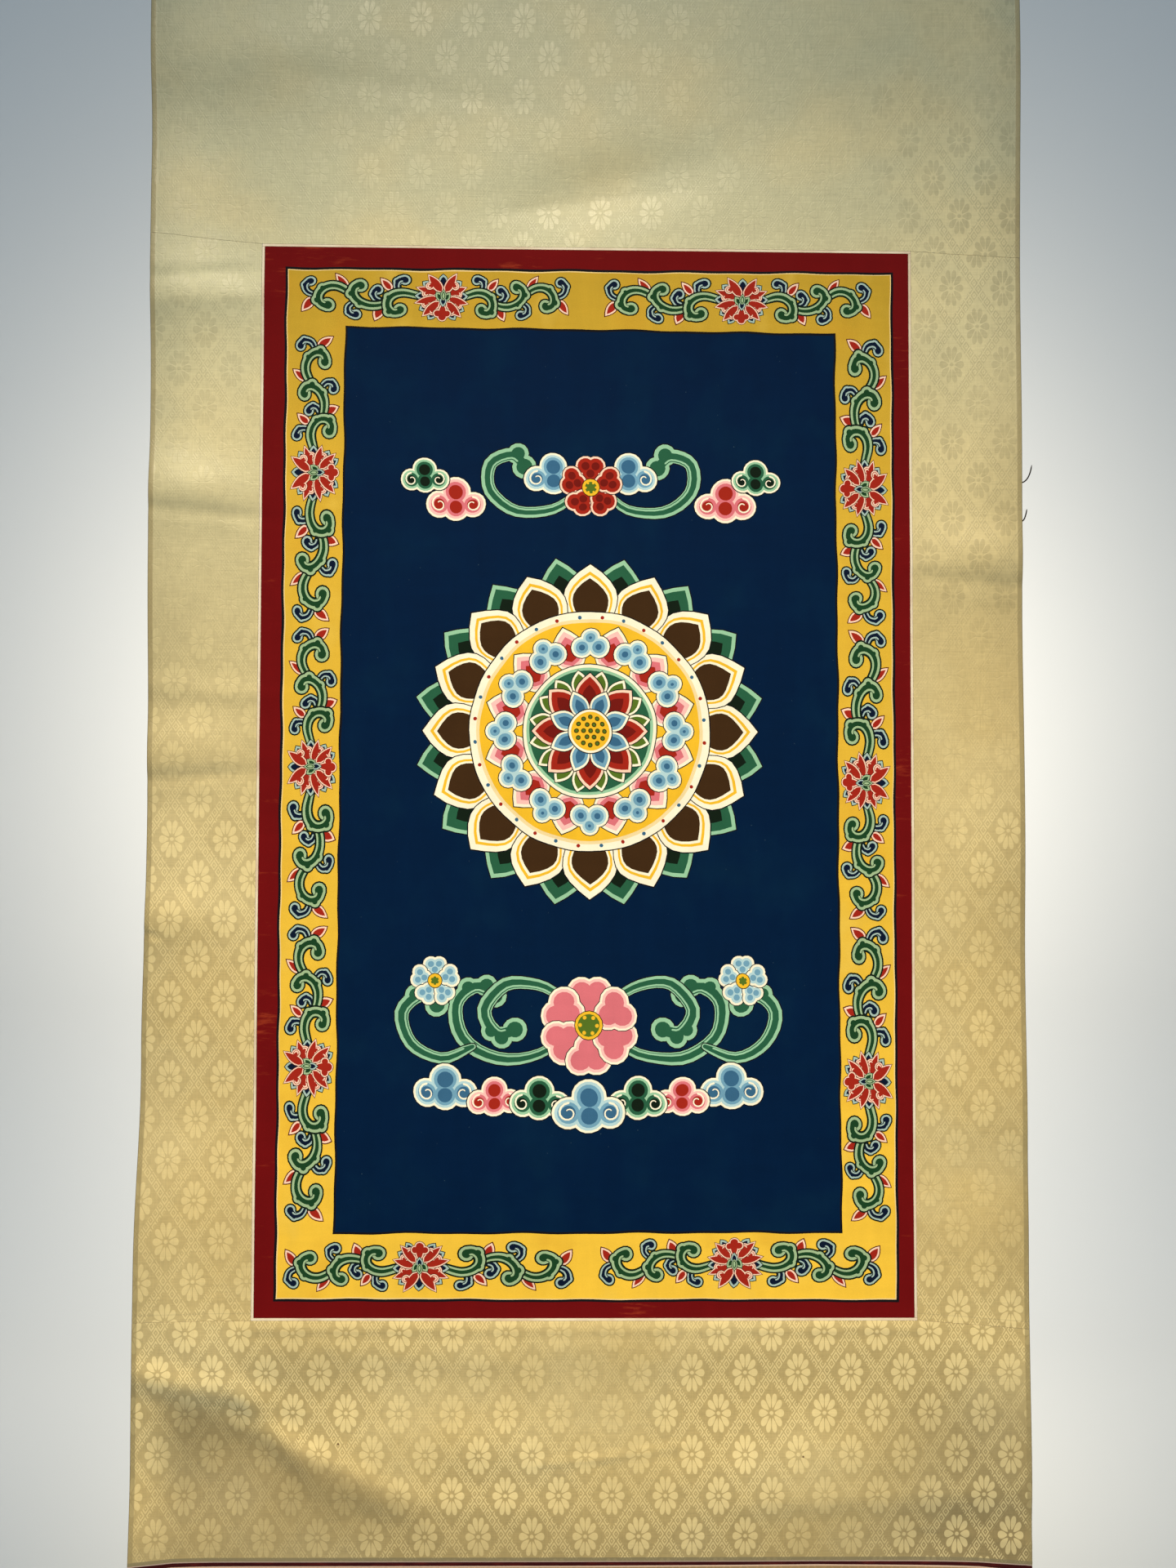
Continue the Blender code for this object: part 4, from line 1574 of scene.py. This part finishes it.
def clothSheet(name, finish, sides, ends, left, right, top, bottom, cell=cloth["cell"]):
    # a thin closed sheet between four lines: sides and ends say which of its edges are hemmed or lapped
    middle = float(left(top(0.0)) + right(top(0.0))) / 2
    across = stops(float(right(top(middle)) - left(top(middle))), cell, *sides)
    down = stops(float(top(middle) - bottom(middle)), cell, *ends)
    x = np.full((len(down), len(across)), middle)
    z = np.full_like(x, float(top(middle)))
    for _ in range(5):
        edge = left(z)
        x = edge + (right(z) - edge) * across[None, :, 0] + across[None, :, 1]
        upper = top(x)
        z = upper + (bottom(x) - upper) * down[:, None, 0] - down[:, None, 1]
    lift = across[None, :, 2] + down[:, None, 2]
    y = -hangingForward(x, z)
    thick = hang["thickness"] / 2
    front = np.stack([x, y - thick - lift, z], axis=-1).reshape(-1, 3)
    back = np.stack([x, y + thick, z], axis=-1).reshape(-1, 3)
    faces = sheetFaces(x.shape)
    mesh = newMesh(name, np.vstack([front, back]), np.vstack(faces).tolist())
    hemShade = np.broadcast_to(across[None, :, 3], x.shape).ravel()
    lapShade = np.broadcast_to(down[:, None, 3], x.shape).ravel()
    weaveAcross, weaveDown = cloth["weave"].get(name, (0.0, 0.0))
    ones = np.ones(x.size)
    for label, frontValues, backValues in (
        ("hem", hemShade, 0.6 * hemShade),
        ("lap", lapShade, 0.6 * lapShade),
        ("reverse", 0 * ones, ones),
        ("weaveAcross", weaveAcross * ones, weaveAcross * ones),
        ("weaveDown", weaveDown * ones, weaveDown * ones),
    ):
        giveAttribute(mesh, label, "POINT", np.concatenate([frontValues, backValues]))
    corners = readOut(mesh.loops, "vertex_index", kind=np.int32)
    side = np.repeat([0, 1, 2], [4 * len(part) for part in faces])
    faced = gridNormals(x, lift, z)
    lightAndMap(mesh, side, np.vstack([faced, -faced])[corners], np.vstack([front, back])[corners])
    mesh.materials.append(finish)
    print(name, len(mesh.polygons), "faces")
    return inScene(name, mesh)


silk, earth, redSilk, pale = silkFinish(), earthFinish(), redSilkFinish(), palePaperFinish()
plain = cloth["plain"]
underSeam, overSeam = moved(upperSeam, -half), moved(lowerSeam, half)
# finish, edges at the sides and ends, the lines at the left, right, top and bottom, and a cell of its own
upperPanel, lowerPanel, leftStrip, rightStrip, redStrip, earthPanel = (
    clothSheet(name, *row)
    for name, row in {
        "upperPanel": (
            *(silk, (hemmed, hemmed), (plain, plain)),
            *(leftEdge, rightEdge, lambda x: 0.0 * x, moved(upperSeam, half)),
        ),
        "lowerPanel": (
            *(silk, (hemmed, hemmed), (plain, lapped)),
            *(leftEdge, rightEdge, moved(lowerSeam, -half), moved(redTop, half)),
        ),
        "leftStrip": (
            *(silk, (hemmed, plain), (plain, allowanceShade)),
            *(leftEdge, moved(matLeft, -half), underSeam, overSeam),
        ),
        "rightStrip": (
            *(silk, (plain, hemmed), (plain, allowanceShade)),
            *(moved(matRight, half), rightEdge, underSeam, overSeam),
        ),
        "redStrip": (
            *(redSilk, (plain, plain), (plain, plain)),
            *(leftEdge, rightEdge, moved(redTop, -half), moved(redBottom, half), cloth["redCell"]),
        ),
        "earthPanel": (
            *(earth, (hemmed, hemmed), (lapped, plain)),
            *(leftEdge, rightEdge, moved(redBottom, -half), lambda x: 0.0 * x - hang["height"]),
        ),
    }.items()
)
edgings = [
    clothSheet(
        name,
        pale,
        (plain, plain),
        (plain, plain),
        moved(left, half),
        moved(right, -half),
        moved(top, -half),
        moved(bottom, half),
        cell,
    )
    for name, left, right, top, bottom, cell in (
        ("edgingTop", matLeft, matRight, moved(pictureTop, mat), pictureTop, 0.0040),
        ("edgingBottom", matLeft, matRight, pictureBottom, moved(pictureBottom, -mat), 0.0040),
        ("edgingLeftSide", matLeft, pictureLeft, pictureTop, pictureBottom, 0.0020),
        ("edgingRightSide", pictureRight, matRight, pictureTop, pictureBottom, 0.0020),
    )
]
painting = paintingSheet()

# loose threads at the right edge

threads = {
    "hem": 0.3965,
    "radius": 0.00060,
    # across, below the top, forward of the cloth
    "curls": (
        (
            (0.3955, 0.6120, 0.0),
            (0.3985, 0.6110, 0.0008),
            (0.4015, 0.6075, 0.0016),
            (0.4035, 0.6020, 0.0022),
            (0.4045, 0.5965, 0.0026),
        ),
        ((0.3955, 0.6480, 0.0), (0.3980, 0.6455, 0.0008), (0.3995, 0.6410, 0.0013), (0.4003, 0.6365, 0.0016)),
    ),
}


def threadFinish():
    finish = Finish("loose_thread")
    twist = finish.noise(2400.0, 2400.0, 2.0, 0.6)
    colour = finish.blend(twist, linear((24, 20, 18)), linear((52, 42, 34)))
    return finish.shade(Base_Color=colour, Roughness=0.85, Specular_IOR_Level=0.1)


def threadMesh(name, points, finish, steps=8):
    # a tapering thread with a closed end at each side; it leaves the cloth at the hem
    path = [
        (x, -float(hangingForward(min(x, threads["hem"]), -down)) - forward, -down)
        for x, down, forward in points
    ]
    line = curveThrough(path, 6)
    along = unit(np.gradient(line, axis=0))
    first = unit(np.cross(along, (0.0, 1.0, 0.0)))
    second = np.cross(along, first)
    turns = np.linspace(0, 2 * math.pi, steps, endpoint=False)[None, :, None]
    wide = threads["radius"] * np.minimum(1, 0.35 + 2.0 * np.sin(np.linspace(0, math.pi, len(line))))
    around = first[:, None] * np.cos(turns) + second[:, None] * np.sin(turns)
    rings = line[:, None] + wide[:, None, None] * around
    grid = np.arange(len(line) * steps).reshape(-1, steps)
    quads = np.stack([grid[:-1], np.roll(grid[:-1], -1, 1), np.roll(grid[1:], -1, 1), grid[1:]], axis=-1)
    faces = quads.reshape(-1, 4).tolist() + [grid[0][::-1].tolist(), grid[-1].tolist()]
    mesh = newMesh(name, rings.reshape(-1, 3), faces)
    built = bmesh.new()
    built.from_mesh(mesh)
    bmesh.ops.recalc_face_normals(built, faces=built.faces)
    built.to_mesh(mesh)
    built.free()
    mesh.shade_smooth()
    mesh.materials.append(finish)
    return inScene(name, mesh)


threadBrown = threadFinish()
looseThreads = [
    threadMesh("looseThread" + str(i + 1), curl, threadBrown) for i, curl in enumerate(threads["curls"])
]

# what each piece is, and what it stands for

for piece, slot, nodes in (
    (upperPanel, "damask_silk", ["upper_brocade_panel"]),
    (lowerPanel, "damask_silk", ["lower_brocade_panel"]),
    (leftStrip, "damask_silk", ["left_brocade_strip"]),
    (rightStrip, "damask_silk", ["right_brocade_strip"]),
    (redStrip, "dark_red_silk", ["lower_red_strip"]),
    (earthPanel, "earth_brocade", ["earth_brocade_panel"]),
    (painting, "painted_paper", ["painting_sheet"]),
    (edgings[0], "pale_paper", ["edging_top"]),
    (edgings[1], "pale_paper", ["edging_bottom"]),
    (edgings[2], "pale_paper", ["edging_left"]),
    (edgings[3], "pale_paper", ["edging_right"]),
):
    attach(piece, "root")
    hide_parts(*nodes)
for thread in looseThreads:
    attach(thread, "root")

# floor, light and camera

studio = {
    "floor": -2.50,
    "wall": 3.4,
    "bend": 0.9,
    "halfWidth": 7.0,
    "front": -4.0,
    "high": 5.0,
    "pale": (0.61, 0.605, 0.59),
    "sky": (0.60, 0.84, 1.08),
    "skyStrength": 0.44,
    # kind, place, aim, size, colour, watts
    "lights": {
        "warmSpot": ("SPOT", (-0.3, -3.2, 2.6), (0.02, 0.0, -1.50), (0.30, 28.0), (1.0, 0.87, 0.62), 1290.0),
        "coolTop": ("AREA", (0.2, -0.90, 1.40), (0.0, 0.0, -0.60), (1.4, 0.5), (0.86, 0.95, 1.0), 3.5),
        "wallWash": ("AREA", (0.12, 1.30, -0.45), (0.12, 3.4, -0.62), (1.8, 0.7), (1.0, 0.925, 0.79), 132.0),
    },
}


def studioSweep():
    bend, wall, floor, wide = (studio[key] for key in ("bend", "wall", "floor", "halfWidth"))
    turns = np.linspace(0, math.pi / 2, 13)
    curve = [(wall - bend + bend * math.sin(t), floor + bend - bend * math.cos(t)) for t in turns]
    profile = [(studio["front"], floor), *curve, (wall, studio["high"])]
    points = [(x, y, z) for y, z in profile for x in (-wide, wide)]
    faces = [(2 * i, 2 * i + 1, 2 * i + 3, 2 * i + 2) for i in range(len(profile) - 1)]
    mesh = newMesh("studioSweep", points, faces)
    mesh.shade_smooth()
    finish = Finish("studio_pale")
    soft = finish.noise(0.8, 0.8, 1.0, 0.5)
    colour = finish.blend(soft, studio["pale"], tuple(0.97 * c for c in studio["pale"]))
    mesh.materials.append(finish.shade(Base_Color=colour, Roughness=0.9))
    made = inScene("studioSweep", mesh)


def studioLights():
    world = bpy.data.worlds.new("studioSky")
    bpy.context.scene.world = world
    world.use_nodes = True
    background = world.node_tree.nodes["Background"]
    background.inputs[0].default_value = (*studio["sky"], 1.0)
    background.inputs[1].default_value = studio["skyStrength"]
    for name, (kind, place, aim, size, colour, watts) in studio["lights"].items():
        lamp = bpy.data.lights.new(name, kind)
        if kind == "AREA":
            lamp.shape = "RECTANGLE"
            lamp.size, lamp.size_y = size
        else:
            lamp.shadow_soft_size, lamp.spot_size = size[0], math.radians(size[1])
            lamp.spot_blend = 1.0
        lamp.color = colour
        lamp.energy = watts
        made = inScene(name, lamp)
        made.location = place
        made.rotation_euler = (Vector(aim) - Vector(place)).to_track_quat("-Z", "Y").to_euler()
        made.visible_camera = False


# the photograph's own viewpoint: place, and the small turns of a hand-held camera in radians
viewpoint = {
    "place": (-0.0133, -1.0600, -0.9219),
    "nod": -0.03228486,
    "swing": -0.01488938,
    "roll": 0.00335166,
    "lens": 27.04,
    "sensor": 36.0,
}


def photographCamera():
    turns = (("nod", "X"), ("swing", "Y"), ("roll", "Z"))
    nod, swing, roll = (Matrix.Rotation(viewpoint[turn], 3, axis) for turn, axis in turns)
    right, down, forward = (Vector((row[0], row[2], -row[1])) for row in roll @ nod @ swing)
    camera = bpy.data.cameras.new("photographView")
    camera.sensor_width = viewpoint["sensor"]
    camera.lens = viewpoint["lens"]
    camera.dof.use_dof = False
    made = inScene("photographView", camera)
    axes = Matrix((right, -down, -forward)).transposed().to_4x4()
    made.matrix_world = Matrix.Translation(viewpoint["place"]) @ axes
    bpy.context.scene.camera = made


studioSweep()
studioLights()
photographCamera()
bpy.context.scene.view_settings.view_transform = "Standard"
print("studio and camera are set")
